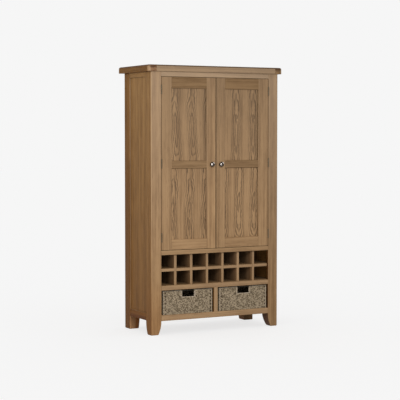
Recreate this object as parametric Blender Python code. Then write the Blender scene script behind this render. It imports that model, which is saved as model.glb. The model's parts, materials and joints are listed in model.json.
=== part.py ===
"""Larder cabinet in oak: two framed doors over a wine rack and two woven baskets.

Metres, +Z up, front towards -Y. The origin is on the floor, under the middle of the whole part.
"""

import math

import bmesh
import bpy
from mathutils import Matrix, Vector

# Clearance between pieces that touch, how far a cutter reaches past the wood that it opens,
# and how near a point is to a plane that it lies on.
FIT = 0.0003
PAST = 0.001
NEAR = 0.0001

# Widths and depths of the carcass.
OPENING_WIDTH = 0.874
POST_WIDTH = 0.080
POST_DEPTH = 0.085
CARCASS_DEPTH = 0.444

# Heights, from the floor upwards.
LEG_HEIGHT = 0.097
BOTTOM_RAIL_HEIGHT = 0.040
BASKET_BAY_HEIGHT = 0.1765
RACK_RAIL_HEIGHT = 0.0325
RACK_CELL_HEIGHT = 0.099
RACK_SHELF_THICKNESS = 0.020
LARDER_RAIL_HEIGHT = 0.031
DOOR_HEIGHT = 1.219
TOP_RAIL_HEIGHT = 0.035
TOP_THICKNESS = 0.045

# Posts: an L of a front stile and a side stile above a solid curved leg. A back leg is nearly straight.
FRAME_THICKNESS = 0.020
SIDE_THICKNESS = 0.028
POST_ROUND = 0.008
POST_ROUND_STEPS = 4
ARRIS = 0.001
FOOT_TAPER = 0.024
BACK_FOOT_TAPER = 0.008
FOOT_CHAMFER = 0.004
LEG_STEPS = 6

# Top board with an end piece across each end. Its plan corners are wider than its edge is round.
TOP_FRONT_OVERHANG = 0.021
TOP_SIDE_OVERHANG = 0.030
TOP_BACK_OVERHANG = 0.040
TOP_END_WIDTH = 0.065
TOP_EDGE_ROUND = 0.014
TOP_FRONT_CORNER_EXTRA = 0.016
TOP_BACK_CORNER_EXTRA = 0.002
TOP_ROUND_STEPS = 5
TOP_TONGUE_LENGTH = 0.014
TOP_TONGUE_THICKNESS = 0.014
TOP_TONGUE_SHOULDER = 0.040

# Side frames and the boarded back. The backing is the wood behind a panel's groove.
SIDE_RAIL_SETBACK = 0.002
SIDE_BOTTOM_RAIL_HEIGHT = 0.052
SIDE_PANEL_THICKNESS = 0.010
SIDE_BACKING = 0.006
SIDE_FRAME_CHAMFER = 0.003
BACK_PANEL_THICKNESS = 0.008
BACK_BOARD_COUNT = 9
BACK_GROOVE = 0.003

# Boards inside. The housing floor is the wood left between a board's end and the side panel's groove.
BOARD_THICKNESS = 0.018
HOUSING_FLOOR = 0.002
SHELF_COUNT = 3
SHELF_SETBACK = 0.008
RACK_COLUMNS = 7
RACK_DIVIDER_THICKNESS = 0.018
RACK_SETBACK = 0.017
BASKET_MUNTIN_WIDTH = 0.030
BASKET_WEB_THICKNESS = 0.012
DOOR_STOP_THICKNESS = 0.012
DOOR_STOP_OVERLAP = 0.010

# Doors.
DOOR_GAP = 0.003
DOOR_THICKNESS = 0.021
HINGE_STILE = 0.080
MEETING_STILE = 0.074
DOOR_TOP_RAIL = 0.079
DOOR_MIDDLE_RAIL = 0.055
DOOR_BOTTOM_RAIL = 0.073
MIDDLE_RAIL_DROP = 0.0075
PANEL_THICKNESS = 0.006
PANEL_BACKING = 0.003
PANEL_TONGUE = 0.008
DOOR_FRAME_CHAMFER = 0.005
TENON_LENGTH = 0.012
TENON_THICKNESS = 0.007
TENON_MARGIN = 0.005
BEAD_WIDTH = 0.022
BEAD_QUIRK = 0.002
BEAD_QUIRK_DEPTH = 0.0015

# Butt hinges, three to a door. The lip is the part of the barrel beyond the plates.
HINGE_HEIGHT = 0.066
HINGE_END_DISTANCE = 0.089
HINGE_LEAF_MARGIN = 0.004
HINGE_LEAF_THICKNESS = 0.0012
HINGE_BARREL_LIP = 0.0013
HINGE_PIN_RADIUS = 0.0018
HINGE_PIN_CLEARANCE = 0.0005
HINGE_KNUCKLES = 5
HINGE_ROUND_STEPS = 18

# Turned knobs.
KNOB_DISTANCE = 0.0375
KNOB_RADIUS = 0.0175
KNOB_HEAD_HEIGHT = 0.018
KNOB_NECK_RADIUS = 0.0065
KNOB_NECK_LENGTH = 0.008
KNOB_COLLAR_RADIUS = 0.011
KNOB_COLLAR_HEIGHT = 0.004
KNOB_COLLAR_ROUND = 0.0015
KNOB_SPIGOT_RADIUS = 0.004
KNOB_SPIGOT_LENGTH = 0.012
KNOB_ROUND_STEPS = 28
KNOB_HEAD_STEPS = 8
KNOB_CROWN_ANGLE = 82.0

# Woven baskets with a hand hole under the front rim.
BASKET_SIDE_CLEARANCE = 0.011
BASKET_SHIFT = 0.004  # both stand a little to the right of the middle of their bays
BASKET_TOP_CLEARANCE = 0.0055
BASKET_BACK_CLEARANCE = 0.050
BASKET_SETBACK = 0.003
BASKET_WALL = 0.007
BASKET_INNER_CORNER = 0.008
BASKET_CORNER_STEPS = 4
BASKET_RIM_HEIGHT = 0.006
BASKET_RIM_PROUD = 0.0015
BASKET_BOTTOM_CHAMFER = 0.0015
HAND_HOLE_WIDTH = 0.090
HAND_HOLE_HEIGHT = 0.042

# Levels that follow from the heights.
BASKET_FLOOR = LEG_HEIGHT + BOTTOM_RAIL_HEIGHT
BASKET_BAY_TOP = BASKET_FLOOR + BASKET_BAY_HEIGHT
RACK_FLOOR = BASKET_BAY_TOP + RACK_RAIL_HEIGHT
RACK_SHELF = RACK_FLOOR + RACK_CELL_HEIGHT
RACK_TOP = RACK_SHELF + RACK_SHELF_THICKNESS + RACK_CELL_HEIGHT
LARDER_FLOOR = RACK_TOP + BOARD_THICKNESS
DOOR_BOTTOM = RACK_TOP + LARDER_RAIL_HEIGHT + DOOR_GAP
DOOR_TOP = DOOR_BOTTOM + DOOR_HEIGHT
CARCASS_TOP = DOOR_TOP + DOOR_GAP + TOP_RAIL_HEIGHT

# Sizes that follow from others.
KNOB_PROJECTION = KNOB_COLLAR_HEIGHT + KNOB_NECK_LENGTH + KNOB_HEAD_HEIGHT
HINGE_LEAF_WIDTH = min(FRAME_THICKNESS, DOOR_THICKNESS) - HINGE_LEAF_MARGIN
HINGE_BARREL_RADIUS = DOOR_GAP / 2 + HINGE_LEAF_THICKNESS + HINGE_BARREL_LIP
PANEL_RECESS = DOOR_THICKNESS - PANEL_BACKING - PANEL_THICKNESS
SIDE_PANEL_RECESS = SIDE_THICKNESS - SIDE_BACKING - SIDE_PANEL_THICKNESS
BACK_PANEL_INSET = (FRAME_THICKNESS - BACK_PANEL_THICKNESS) / 2
TENON_SHOULDER = PANEL_TONGUE + TENON_MARGIN
HOUSING_DEPTH = SIDE_BACKING - HOUSING_FLOOR

# Planes that follow from the widths and depths.
HALF_OPENING = OPENING_WIDTH / 2
HALF_WIDTH = HALF_OPENING + POST_WIDTH
FRONT_REACH = max(TOP_FRONT_OVERHANG, KNOB_PROJECTION)
FRONT = (FRONT_REACH - TOP_BACK_OVERHANG - CARCASS_DEPTH) / 2
BACK = FRONT + CARCASS_DEPTH
FRAME_BACK = FRONT + FRAME_THICKNESS
DOOR_BACK = FRONT + DOOR_THICKNESS
BOARD_BACK = BACK - FRAME_THICKNESS - FIT
BOARD_HALF_WIDTH = HALF_WIDTH - SIDE_THICKNESS + HOUSING_DEPTH - FIT

# Hinge axes stand in the middle of the door gap, just clear of the frame's face.
HINGE_X = HALF_OPENING - DOOR_GAP / 2
HINGE_Y = FRONT - HINGE_BARREL_RADIUS - FIT
HINGE_LEVELS = (
    DOOR_BOTTOM + HINGE_END_DISTANCE,
    (DOOR_BOTTOM + DOOR_TOP) / 2,
    DOOR_TOP - HINGE_END_DISTANCE,
)

for leftover in list(bpy.data.objects):
    bpy.data.objects.remove(leftover, do_unlink=True)


def finish(name, colour, roughness, metallic=0.0):
    """One Principled material."""
    material = bpy.data.materials.new(name)
    material.use_nodes = True
    shader = material.node_tree.nodes["Principled BSDF"]
    shader.inputs["Base Color"].default_value = (*colour, 1.0)
    shader.inputs["Roughness"].default_value = roughness
    shader.inputs["Metallic"].default_value = metallic
    return material


OAK_FRAME = finish("oak_frame", (0.36, 0.23, 0.12), 0.45)
OAK_PANEL = finish("oak_panel", (0.31, 0.19, 0.10), 0.45)
OAK_INSIDE = finish("oak_inside", (0.30, 0.20, 0.12), 0.55)
OAK_BACK = finish("oak_back", (0.33, 0.23, 0.14), 0.60)
AGED_BRASS = finish("aged_brass", (0.16, 0.13, 0.08), 0.40, 1.0)
DARK_NICKEL = finish("dark_nickel", (0.30, 0.28, 0.26), 0.22, 1.0)
SEAGRASS = finish("seagrass", (0.26, 0.21, 0.13), 0.85)


def rectangle(a0, a1, b0, b1, chamfer=ARRIS):
    """Eight corners of a rectangle whose arrises are taken off."""
    a0, a1 = sorted((a0, a1))
    b0, b1 = sorted((b0, b1))
    return [
        (a0 + chamfer, b0),
        (a1 - chamfer, b0),
        (a1, b0 + chamfer),
        (a1, b1 - chamfer),
        (a1 - chamfer, b1),
        (a0 + chamfer, b1),
        (a0, b1 - chamfer),
        (a0, b0 + chamfer),
    ]


def sharp_rectangle(a0, a1, b0, b1, spread=0.0):
    """Four corners of a rectangle, spread outwards if asked."""
    a0, a1 = sorted((a0, a1))
    b0, b1 = sorted((b0, b1))
    return [
        (a0 - spread, b0 - spread),
        (a1 + spread, b0 - spread),
        (a1 + spread, b1 + spread),
        (a0 - spread, b1 + spread),
    ]


def arc(centre, radius, start, end, steps):
    """Points on an arc, angles in degrees, both ends included."""
    points = []
    for step in range(steps + 1):
        angle = math.radians(start + (end - start) * step / steps)
        points.append((centre[0] + radius * math.cos(angle), centre[1] + radius * math.sin(angle)))
    return points


def circle(centre, radius, steps):
    """Points all round a circle."""
    return arc(centre, radius, 0, 360, steps)[:-1]


def ring(axis, level, outline):
    """A flat outline set square to an axis at one level along it."""
    if axis == "X":
        return [Vector((level, a, b)) for a, b in outline]
    if axis == "Y":
        return [Vector((a, level, b)) for a, b in outline]
    return [Vector((a, b, level)) for a, b in outline]


def prism(axis, start, end, outline):
    """The two rings of a straight extrusion."""
    return [ring(axis, start, outline), ring(axis, end, outline)]


def block(x0, x1, y0, y1, z0, z1):
    """The rings of a sharp rectangular block."""
    return prism("Z", z0, z1, sharp_rectangle(x0, x1, y0, y1))


def skin(shape, rings):
    """Faces between rings of equal length, with both ends capped."""
    loops = [[shape.verts.new(point) for point in points] for points in rings]
    for lower, upper in zip(loops, loops[1:]):
        for index in range(len(lower)):
            following = (index + 1) % len(lower)
            shape.faces.new((lower[index], lower[following], upper[following], upper[index]))
    shape.faces.new(loops[0][::-1])
    shape.faces.new(loops[-1])


def mesh_of(name, bodies, origin):
    """A mesh of one or more skinned bodies, moved so that origin becomes its zero."""
    shape = bmesh.new()
    for rings in bodies:
        skin(shape, rings)
    bmesh.ops.remove_doubles(shape, verts=shape.verts, dist=1e-6)
    bmesh.ops.recalc_face_normals(shape, faces=shape.faces)
    bmesh.ops.translate(shape, verts=shape.verts, vec=-origin)
    mesh = bpy.data.meshes.new(name)
    shape.to_mesh(mesh)
    shape.free()
    return mesh


def middle(rings):
    """Middle of the box round some rings."""
    points = [point for points in rings for point in points]
    low = Vector(min(point[i] for point in points) for i in range(3))
    high = Vector(max(point[i] for point in points) for i in range(3))
    return (low + high) / 2


def place(name, mesh, origin, material=None, parent=None):
    """An object for a mesh, with its origin at a point of the part."""
    piece = bpy.data.objects.new(name, mesh)
    bpy.context.scene.collection.objects.link(piece)
    piece.parent = parent
    piece.location = origin - parent.location if parent else origin
    if material:
        mesh.materials.append(material)
    return piece


def solid(name, rings, material, parent=None):
    """One piece skinned over rings, with its origin in its middle."""
    origin = middle(rings)
    return place(name, mesh_of(name, [rings], origin), origin, material, parent)


def pivot(name, location):
    """An empty on a joint axis."""
    empty = bpy.data.objects.new(name, None)
    empty.empty_display_size = 0.05
    empty.location = location
    bpy.context.scene.collection.objects.link(empty)
    return empty


def cutter(name, bodies, parent=None):
    """A hidden cutter of one or more separate bodies."""
    origin = middle([points for rings in bodies for points in rings])
    tool = place(name, mesh_of(name, bodies, origin), origin, None, parent)
    tool.hide_render = True
    tool.display_type = "WIRE"
    return tool


def combine(piece, tool, operation="DIFFERENCE"):
    """Cuts a piece with a tool, or joins the tool to it."""
    modifier = piece.modifiers.new(tool.name, "BOOLEAN")
    modifier.operation = operation
    modifier.solver = "EXACT"
    modifier.object = tool


def smooth(piece, angle=30.0):
    """Smooth shading with sharp edges kept."""
    piece.data.shade_smooth()
    piece.data.set_sharp_from_angle(angle=math.radians(angle))


def leg_inset(level, taper):
    """How far a leg's curved inner face has drawn in at a level, out of its taper at the floor."""
    drop = max(LEG_HEIGHT - level, 0.0)
    curve_radius = (LEG_HEIGHT**2 + taper**2) / (2 * taper)
    return curve_radius - math.sqrt(curve_radius**2 - drop**2)


def post_outline(width_inset, depth_inset, trim):
    """Plan of a post from its outer corner: u runs inwards across the width, v across the depth."""
    width = POST_WIDTH - width_inset - trim
    depth = POST_DEPTH - depth_inset - trim
    start = trim + POST_ROUND
    outline = arc((start, start), POST_ROUND, 180, 270, POST_ROUND_STEPS)
    outline += [(width - ARRIS, trim), (width, trim + ARRIS)]
    outline += [(width, depth - ARRIS), (width - ARRIS, depth)]
    outline += [(trim + ARRIS, depth), (trim, depth - ARRIS)]
    return outline


def shelf_levels():
    """Undersides and tops of the larder shelves, evenly spaced up to the top board."""
    clear = CARCASS_TOP - LARDER_FLOOR - SHELF_COUNT * BOARD_THICKNESS
    pitch = clear / (SHELF_COUNT + 1) + BOARD_THICKNESS
    tops = [LARDER_FLOOR + pitch * (index + 1) for index in range(SHELF_COUNT)]
    return [(top - BOARD_THICKNESS, top) for top in tops]


def housed_levels():
    """Undersides and tops of all the boards whose ends lie in housings of the posts."""
    levels = [
        (RACK_FLOOR - BOARD_THICKNESS, RACK_FLOOR),
        (RACK_SHELF, RACK_SHELF + RACK_SHELF_THICKNESS),
        (RACK_TOP, LARDER_FLOOR),
    ]
    return levels + shelf_levels()


def side_rail_levels():
    """Bottom and top of the lower and the upper rail of a side."""
    upper_top = CARCASS_TOP - FIT
    return {
        "bottom": (LEG_HEIGHT, LEG_HEIGHT + SIDE_BOTTOM_RAIL_HEIGHT),
        "top": (upper_top - TOP_RAIL_HEIGHT, upper_top),
    }


def tenon_levels(row, low, high):
    """Bottom and top of a rail's tenon, clear of the panels above and below it."""
    below = TENON_MARGIN if row == "bottom" else TENON_SHOULDER
    above = TENON_MARGIN if row == "top" else TENON_SHOULDER
    return low + below, high - above


def grown(ranges, spare):
    """Pairs of limits moved apart by a clearance, in one flat list."""
    limits = []
    for low, high in ranges:
        limits += [low - spare, high + spare]
    return limits


def side_tenon(row, low, high):
    """Ranges of a side rail's tenon, inwards from the outer face and in height."""
    centre = (SIDE_RAIL_SETBACK + SIDE_THICKNESS) / 2
    across = (centre - TENON_THICKNESS / 2, centre + TENON_THICKNESS / 2)
    return [across, tenon_levels(row, low, high)]


def side_opening():
    """Y and Z limits of the side panel's opening between posts and rails."""
    levels = side_rail_levels()
    return FRONT + POST_DEPTH, BACK - POST_DEPTH, levels["bottom"][1], levels["top"][0]


def post_joinery(front):
    """Blocks cut from a post for what it carries, as limits of u, v and z from its outer corner."""
    cuts = []
    for row, (low, high) in side_rail_levels().items():
        u0, u1, z0, z1 = grown(side_tenon(row, low, high), FIT)
        cuts.append((u0, u1, POST_DEPTH - TENON_LENGTH - FIT, POST_DEPTH + PAST, z0, z1))
    panel = (SIDE_PANEL_RECESS, SIDE_PANEL_RECESS + SIDE_PANEL_THICKNESS)
    panel_levels = (side_opening()[2] - PANEL_TONGUE, side_opening()[3] + PANEL_TONGUE)
    u0, u1, z0, z1 = grown([panel, panel_levels], FIT)
    cuts.append((u0, u1, POST_DEPTH - PANEL_TONGUE - FIT, POST_DEPTH + PAST, z0, z1))
    housing = (SIDE_THICKNESS - HOUSING_DEPTH, SIDE_THICKNESS + PAST)
    for low, high in housed_levels():
        cuts.append((*housing, FRAME_THICKNESS + FIT / 2, POST_DEPTH + PAST, low - FIT, high + FIT))
    if front:
        pocket = (POST_WIDTH - HINGE_LEAF_THICKNESS - FIT, POST_WIDTH + PAST)
        for level in HINGE_LEVELS:
            reach = HINGE_HEIGHT / 2 + FIT
            cuts.append((*pocket, -PAST, HINGE_LEAF_WIDTH + FIT, level - reach, level + reach))
    else:
        groove = (POST_WIDTH - PANEL_TONGUE - FIT, POST_WIDTH + PAST)
        back = (BACK_PANEL_INSET - FIT, BACK_PANEL_INSET + BACK_PANEL_THICKNESS + FIT)
        cuts.append((*groove, *back, LEG_HEIGHT - FIT, CARCASS_TOP + PAST))
    return cuts


def make_post(name, side, front):
    """A corner post: solid curved leg below, L-shaped stiles above, cut for its neighbours."""

    def world(u, v):
        return (side * (HALF_WIDTH - u), FRONT + v if front else BACK - v)

    def post_block(u0, u1, v0, v1, z0, z1):
        (x0, y0), (x1, y1) = world(u0, v0), world(u1, v1)
        return block(x0, x1, y0, y1, z0, z1)

    def post_ring(level, trim=0.0):
        width_inset = leg_inset(level, FOOT_TAPER if front else BACK_FOOT_TAPER)
        depth_inset = leg_inset(level, FOOT_TAPER) if front else 0.0
        outline = post_outline(width_inset, depth_inset, trim)
        return ring("Z", level, [world(u, v) for u, v in outline])

    rings = [post_ring(0.0, FOOT_CHAMFER / 2)]
    for step in range(LEG_STEPS + 1):
        rings.append(post_ring(FOOT_CHAMFER + (LEG_HEIGHT - FOOT_CHAMFER) * step / LEG_STEPS))
    rings.append(post_ring(CARCASS_TOP - FIT))
    post = solid(name, rings, OAK_FRAME)
    across = (SIDE_THICKNESS, POST_WIDTH + PAST)
    through = (FRAME_THICKNESS, POST_DEPTH + PAST)
    hollow = post_block(*across, *through, BASKET_FLOOR - BOARD_THICKNESS - FIT, CARCASS_TOP + PAST)
    combine(post, cutter(name + "_hollow", [hollow]))
    joinery = [post_block(*limits) for limits in post_joinery(front)]
    combine(post, cutter(name + "_joinery", joinery))
    combine(post, side_chamfer_cutter(name + "_chamfer", side))
    smooth(post)


def side_chamfer_cutter(name, side):
    """The sloping edge round the outside of a side panel, as a cutter."""
    rings = []
    for depth, spread in ((-PAST, SIDE_FRAME_CHAMFER + PAST), (SIDE_FRAME_CHAMFER, 0.0)):
        rings.append(ring("X", side * (HALF_WIDTH - depth), sharp_rectangle(*side_opening(), spread)))
    return cutter(name, [rings])


def tenoned(axis, start, end, body, tenon):
    """Rings of a rail with a tenon at each end, its shoulders at start and end less the fit."""
    toward = 1 if end > start else -1
    return [
        ring(axis, start - toward * TENON_LENGTH, tenon),
        ring(axis, start + toward * FIT, tenon),
        ring(axis, start + toward * FIT, body),
        ring(axis, end - toward * FIT, body),
        ring(axis, end - toward * FIT, tenon),
        ring(axis, end + toward * TENON_LENGTH, tenon),
    ]


def make_side(word, side):
    """Rails and panel between the two posts of one side."""

    def across(u):
        return side * (HALF_WIDTH - u)

    y0, y1, z0, z1 = side_opening()
    faces = sorted((across(SIDE_PANEL_RECESS), across(SIDE_PANEL_RECESS + SIDE_PANEL_THICKNESS)))
    panel = [faces, (y0 - PANEL_TONGUE, y1 + PANEL_TONGUE), (z0 - PANEL_TONGUE, z1 + PANEL_TONGUE)]
    solid(word + "_side_panel", block(*grown(panel, 0.0)), OAK_PANEL)
    slot = block(*grown(panel, FIT))
    for row, (low, high) in side_rail_levels().items():
        body = rectangle(across(SIDE_RAIL_SETBACK), across(SIDE_THICKNESS), low, high)
        (u0, u1), (t0, t1) = side_tenon(row, low, high)
        tenon = rectangle(across(u0), across(u1), t0, t1, ARRIS / 2)
        name = word + "_side_" + row + "_rail"
        rail = solid(name, tenoned("Y", y0, y1, body, tenon), OAK_FRAME)
        combine(rail, cutter(name + "_slot", [slot]))
        combine(rail, side_chamfer_cutter(name + "_chamfer", side))


def make_back():
    """Back of boards: one panel with V grooves between its boards on both faces."""
    front_face = BACK - BACK_PANEL_INSET - BACK_PANEL_THICKNESS
    back_face = BACK - BACK_PANEL_INSET
    half = HALF_OPENING + PANEL_TONGUE
    pitch = OPENING_WIDTH / BACK_BOARD_COUNT
    front_edge = [(-half, front_face)]
    for index in range(1, BACK_BOARD_COUNT):
        joint = -HALF_OPENING + pitch * index
        front_edge += [
            (joint - BACK_GROOVE / 2, front_face),
            (joint, front_face + BACK_GROOVE / 2),
            (joint + BACK_GROOVE / 2, front_face),
        ]
    front_edge.append((half, front_face))
    back_edge = [(x, front_face + back_face - y) for x, y in reversed(front_edge)]
    solid("back_panel", prism("Z", LEG_HEIGHT, CARCASS_TOP - FIT, front_edge + back_edge), OAK_BACK)


def make_rails():
    """Top and bottom rails of the front frame. The top one has the stop that the doors close on."""
    half = HALF_OPENING - FIT
    low, high = CARCASS_TOP - TOP_RAIL_HEIGHT, CARCASS_TOP - FIT
    stop_front = DOOR_BACK + FIT
    stop_back = stop_front + DOOR_STOP_THICKNESS
    stop_low = DOOR_TOP - DOOR_STOP_OVERLAP
    profile = [
        (FRONT, low + ARRIS),
        (FRONT + ARRIS, low),
        (stop_front, low),
        (stop_front, stop_low),
        (stop_back, stop_low),
        (stop_back, high),
        (FRONT, high),
    ]
    solid("front_top_rail", prism("X", -half, half, profile), OAK_FRAME)
    bottom = rectangle(FRONT, FRAME_BACK, LEG_HEIGHT, BASKET_FLOOR)
    solid("front_bottom_rail", prism("X", -half, half, bottom), OAK_FRAME)


def railed_board(name, rail_low, rail_high, board_low, board_high):
    """A floor board with its rail along the front, notched round the front posts."""
    profile = [(FRONT, rail_low + ARRIS), (FRONT, rail_high - ARRIS), (FRONT + ARRIS, rail_high)]
    if rail_high > board_high:
        profile += [(FRAME_BACK, rail_high), (FRAME_BACK, board_high)]
    profile += [(BOARD_BACK, board_high), (BOARD_BACK, board_low)]
    if rail_low < board_low:
        profile += [(FRAME_BACK, board_low), (FRAME_BACK, rail_low)]
    profile.append((FRONT + ARRIS, rail_low))
    board = solid(name, prism("X", -BOARD_HALF_WIDTH, BOARD_HALF_WIDTH, profile), OAK_FRAME)
    notches = []
    for side in (-1, 1):
        inner = side * (HALF_OPENING - FIT)
        outer = side * (BOARD_HALF_WIDTH + PAST)
        levels = (rail_low - PAST, rail_high + PAST)
        notches.append(block(inner, outer, FRONT - PAST, FRAME_BACK + FIT, *levels))
    combine(board, cutter(name + "_notches", notches))


def make_boards():
    """Floors of the larder, the rack and the baskets, and the larder shelves."""
    railed_board("larder_floor", RACK_TOP, RACK_TOP + LARDER_RAIL_HEIGHT, RACK_TOP, LARDER_FLOOR)
    railed_board("rack_floor", BASKET_BAY_TOP, RACK_FLOOR, RACK_FLOOR - BOARD_THICKNESS, RACK_FLOOR)
    half = HALF_WIDTH - SIDE_THICKNESS - FIT
    levels = (BASKET_FLOOR - BOARD_THICKNESS, BASKET_FLOOR)
    solid("basket_floor", block(-half, half, FRAME_BACK + FIT, BOARD_BACK, *levels), OAK_INSIDE)
    for index, (low, high) in enumerate(shelf_levels(), start=1):
        outline = rectangle(DOOR_BACK + SHELF_SETBACK, BOARD_BACK, low, high)
        name = "larder_shelf_" + str(index)
        solid(name, prism("X", -BOARD_HALF_WIDTH, BOARD_HALF_WIDTH, outline), OAK_INSIDE)


def divider_centres():
    """Middles of the upright boards of the rack."""
    pitch = (OPENING_WIDTH + RACK_DIVIDER_THICKNESS) / RACK_COLUMNS
    start = -HALF_OPENING - RACK_DIVIDER_THICKNESS / 2
    return [start + pitch * index for index in range(1, RACK_COLUMNS)]


def make_rack():
    """Egg-crate bottle rack: uprights and one shelf, halved into each other."""
    front = FRONT + RACK_SETBACK
    halving = (front + BOARD_BACK) / 2
    shelf_top = RACK_SHELF + RACK_SHELF_THICKNESS
    upright = [
        (front, RACK_FLOOR + FIT),
        (BOARD_BACK, RACK_FLOOR + FIT),
        (BOARD_BACK, RACK_SHELF - FIT),
        (halving - FIT, RACK_SHELF - FIT),
        (halving - FIT, shelf_top + FIT),
        (BOARD_BACK, shelf_top + FIT),
        (BOARD_BACK, RACK_TOP - FIT),
        (front, RACK_TOP - FIT),
    ]
    half = RACK_DIVIDER_THICKNESS / 2
    # Between the posts the shelf comes forward; behind them its ends lie in their housings.
    ear = max(front, FRAME_BACK + FIT)
    inner = HALF_OPENING - FIT
    shelf = [(-BOARD_HALF_WIDTH, ear), (-inner, ear), (-inner, front)]
    for index, centre in enumerate(divider_centres(), start=1):
        name = "rack_divider_" + str(index)
        solid(name, prism("X", centre - half, centre + half, upright), OAK_INSIDE)
        left = centre - half - FIT
        right = centre + half + FIT
        shelf += [(left, front), (left, halving + FIT), (right, halving + FIT), (right, front)]
    shelf += [(inner, front), (inner, ear), (BOARD_HALF_WIDTH, ear)]
    shelf += [(BOARD_HALF_WIDTH, BOARD_BACK), (-BOARD_HALF_WIDTH, BOARD_BACK)]
    solid("rack_shelf", prism("Z", RACK_SHELF, shelf_top, shelf), OAK_INSIDE)


def make_basket_divider():
    """Upright between the baskets: a muntin in the front frame with a web behind it."""
    half = BASKET_MUNTIN_WIDTH / 2
    web = BASKET_WEB_THICKNESS / 2
    outline = [
        (-half, FRONT + ARRIS),
        (-half + ARRIS, FRONT),
        (half - ARRIS, FRONT),
        (half, FRONT + ARRIS),
        (half, FRAME_BACK),
        (web, FRAME_BACK),
        (web, BOARD_BACK),
        (-web, BOARD_BACK),
        (-web, FRAME_BACK),
        (-half, FRAME_BACK),
    ]
    solid("basket_divider", prism("Z", BASKET_FLOOR + FIT, BASKET_BAY_TOP - FIT, outline), OAK_FRAME)


def make_top():
    """Top board, round along its upper edges, tongued into an end piece across each end."""
    low, high = CARCASS_TOP, CARCASS_TOP + TOP_THICKNESS
    front, back = FRONT - TOP_FRONT_OVERHANG, BACK + TOP_BACK_OVERHANG
    end = HALF_WIDTH + TOP_SIDE_OVERHANG
    joint = end - TOP_END_WIDTH
    round_level = high - TOP_EDGE_ROUND
    outline = [(back, low), (front, low)]
    outline += arc((front + TOP_EDGE_ROUND, round_level), TOP_EDGE_ROUND, 180, 90, TOP_ROUND_STEPS)
    outline += arc((back - TOP_EDGE_ROUND, round_level), TOP_EDGE_ROUND, 90, 0, TOP_ROUND_STEPS)
    centre = (low + high) / 2
    tongue_low, tongue_high = centre - TOP_TONGUE_THICKNESS / 2, centre + TOP_TONGUE_THICKNESS / 2
    tongue_front, tongue_back = front + TOP_TONGUE_SHOULDER, back - TOP_TONGUE_SHOULDER
    tongue = []
    for y, z in outline:
        inside_y = min(max(y, tongue_front), tongue_back)
        inside_z = min(max(z, tongue_low), tongue_high)
        tongue.append((inside_y, inside_z))
    field_end = joint - FIT
    tongue_end = joint + TOP_TONGUE_LENGTH
    rings = [
        ring("X", -tongue_end, tongue),
        ring("X", -field_end, tongue),
        ring("X", -field_end, outline),
        ring("X", field_end, outline),
        ring("X", field_end, tongue),
        ring("X", tongue_end, tongue),
    ]
    smooth(solid("top_board", rings, OAK_FRAME))
    for word, side in (("left", -1), ("right", 1)):
        name = "top_end_" + word
        piece = rounded_end(name, side * joint, side * end, front, back, low, high)
        tongue_box = grown([(tongue_front, tongue_back), (tongue_low, tongue_high)], FIT)
        groove = block(side * (joint - PAST), side * (tongue_end + FIT), *tongue_box)
        combine(piece, cutter(name + "_groove", [groove]))
        smooth(piece)


def rounded_end(name, inner, outer, front, back, low, high):
    """One end piece of the top: round plan corners, and a round upper edge on its three free sides."""
    piece = solid(name, block(inner, outer, front, back, low, high), OAK_FRAME)
    shape = bmesh.new()
    shape.from_mesh(piece.data)
    outer_x = outer - piece.location.x
    inner_x = inner - piece.location.x
    top_z = high - piece.location.z
    for corner, extra in ((front, TOP_FRONT_CORNER_EXTRA), (back, TOP_BACK_CORNER_EXTRA)):
        corner_y = corner - piece.location.y
        upright = []
        for edge in shape.edges:
            start, end = (vert.co for vert in edge.verts)
            at_corner = abs(start.x - outer_x) < NEAR and abs(start.y - corner_y) < NEAR
            if at_corner and abs(start.z - end.z) > NEAR:
                upright.append(edge)
        round_edges(shape, upright, TOP_EDGE_ROUND + extra)
    upper = []
    for edge in shape.edges:
        start, end = (vert.co for vert in edge.verts)
        at_top = min(start.z, end.z) > top_z - NEAR
        along_joint = abs(start.x - inner_x) < NEAR and abs(end.x - inner_x) < NEAR
        if at_top and not along_joint:
            upper.append(edge)
    round_edges(shape, upper, TOP_EDGE_ROUND)
    shape.to_mesh(piece.data)
    shape.free()
    return piece


def round_edges(shape, edges, radius):
    """Rounds edges of a shape with a circular bevel."""
    bmesh.ops.bevel(
        shape,
        geom=edges,
        offset=radius,
        offset_type="OFFSET",
        segments=TOP_ROUND_STEPS,
        profile=0.5,
        affect="EDGES",
        clamp_overlap=True,
    )


def door_rows():
    """Bottom and top of each rail of a door."""
    middle_low = (DOOR_BOTTOM + DOOR_TOP - DOOR_MIDDLE_RAIL) / 2 - MIDDLE_RAIL_DROP
    return {
        "bottom": (DOOR_BOTTOM, DOOR_BOTTOM + DOOR_BOTTOM_RAIL),
        "middle": (middle_low, middle_low + DOOR_MIDDLE_RAIL),
        "top": (DOOR_TOP - DOOR_TOP_RAIL, DOOR_TOP),
    }


def door_tenon(row, low, high):
    """Depth and height ranges of a door rail's tenon."""
    centre = FRONT + DOOR_THICKNESS / 2
    return [(centre - TENON_THICKNESS / 2, centre + TENON_THICKNESS / 2), tenon_levels(row, low, high)]


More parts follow.
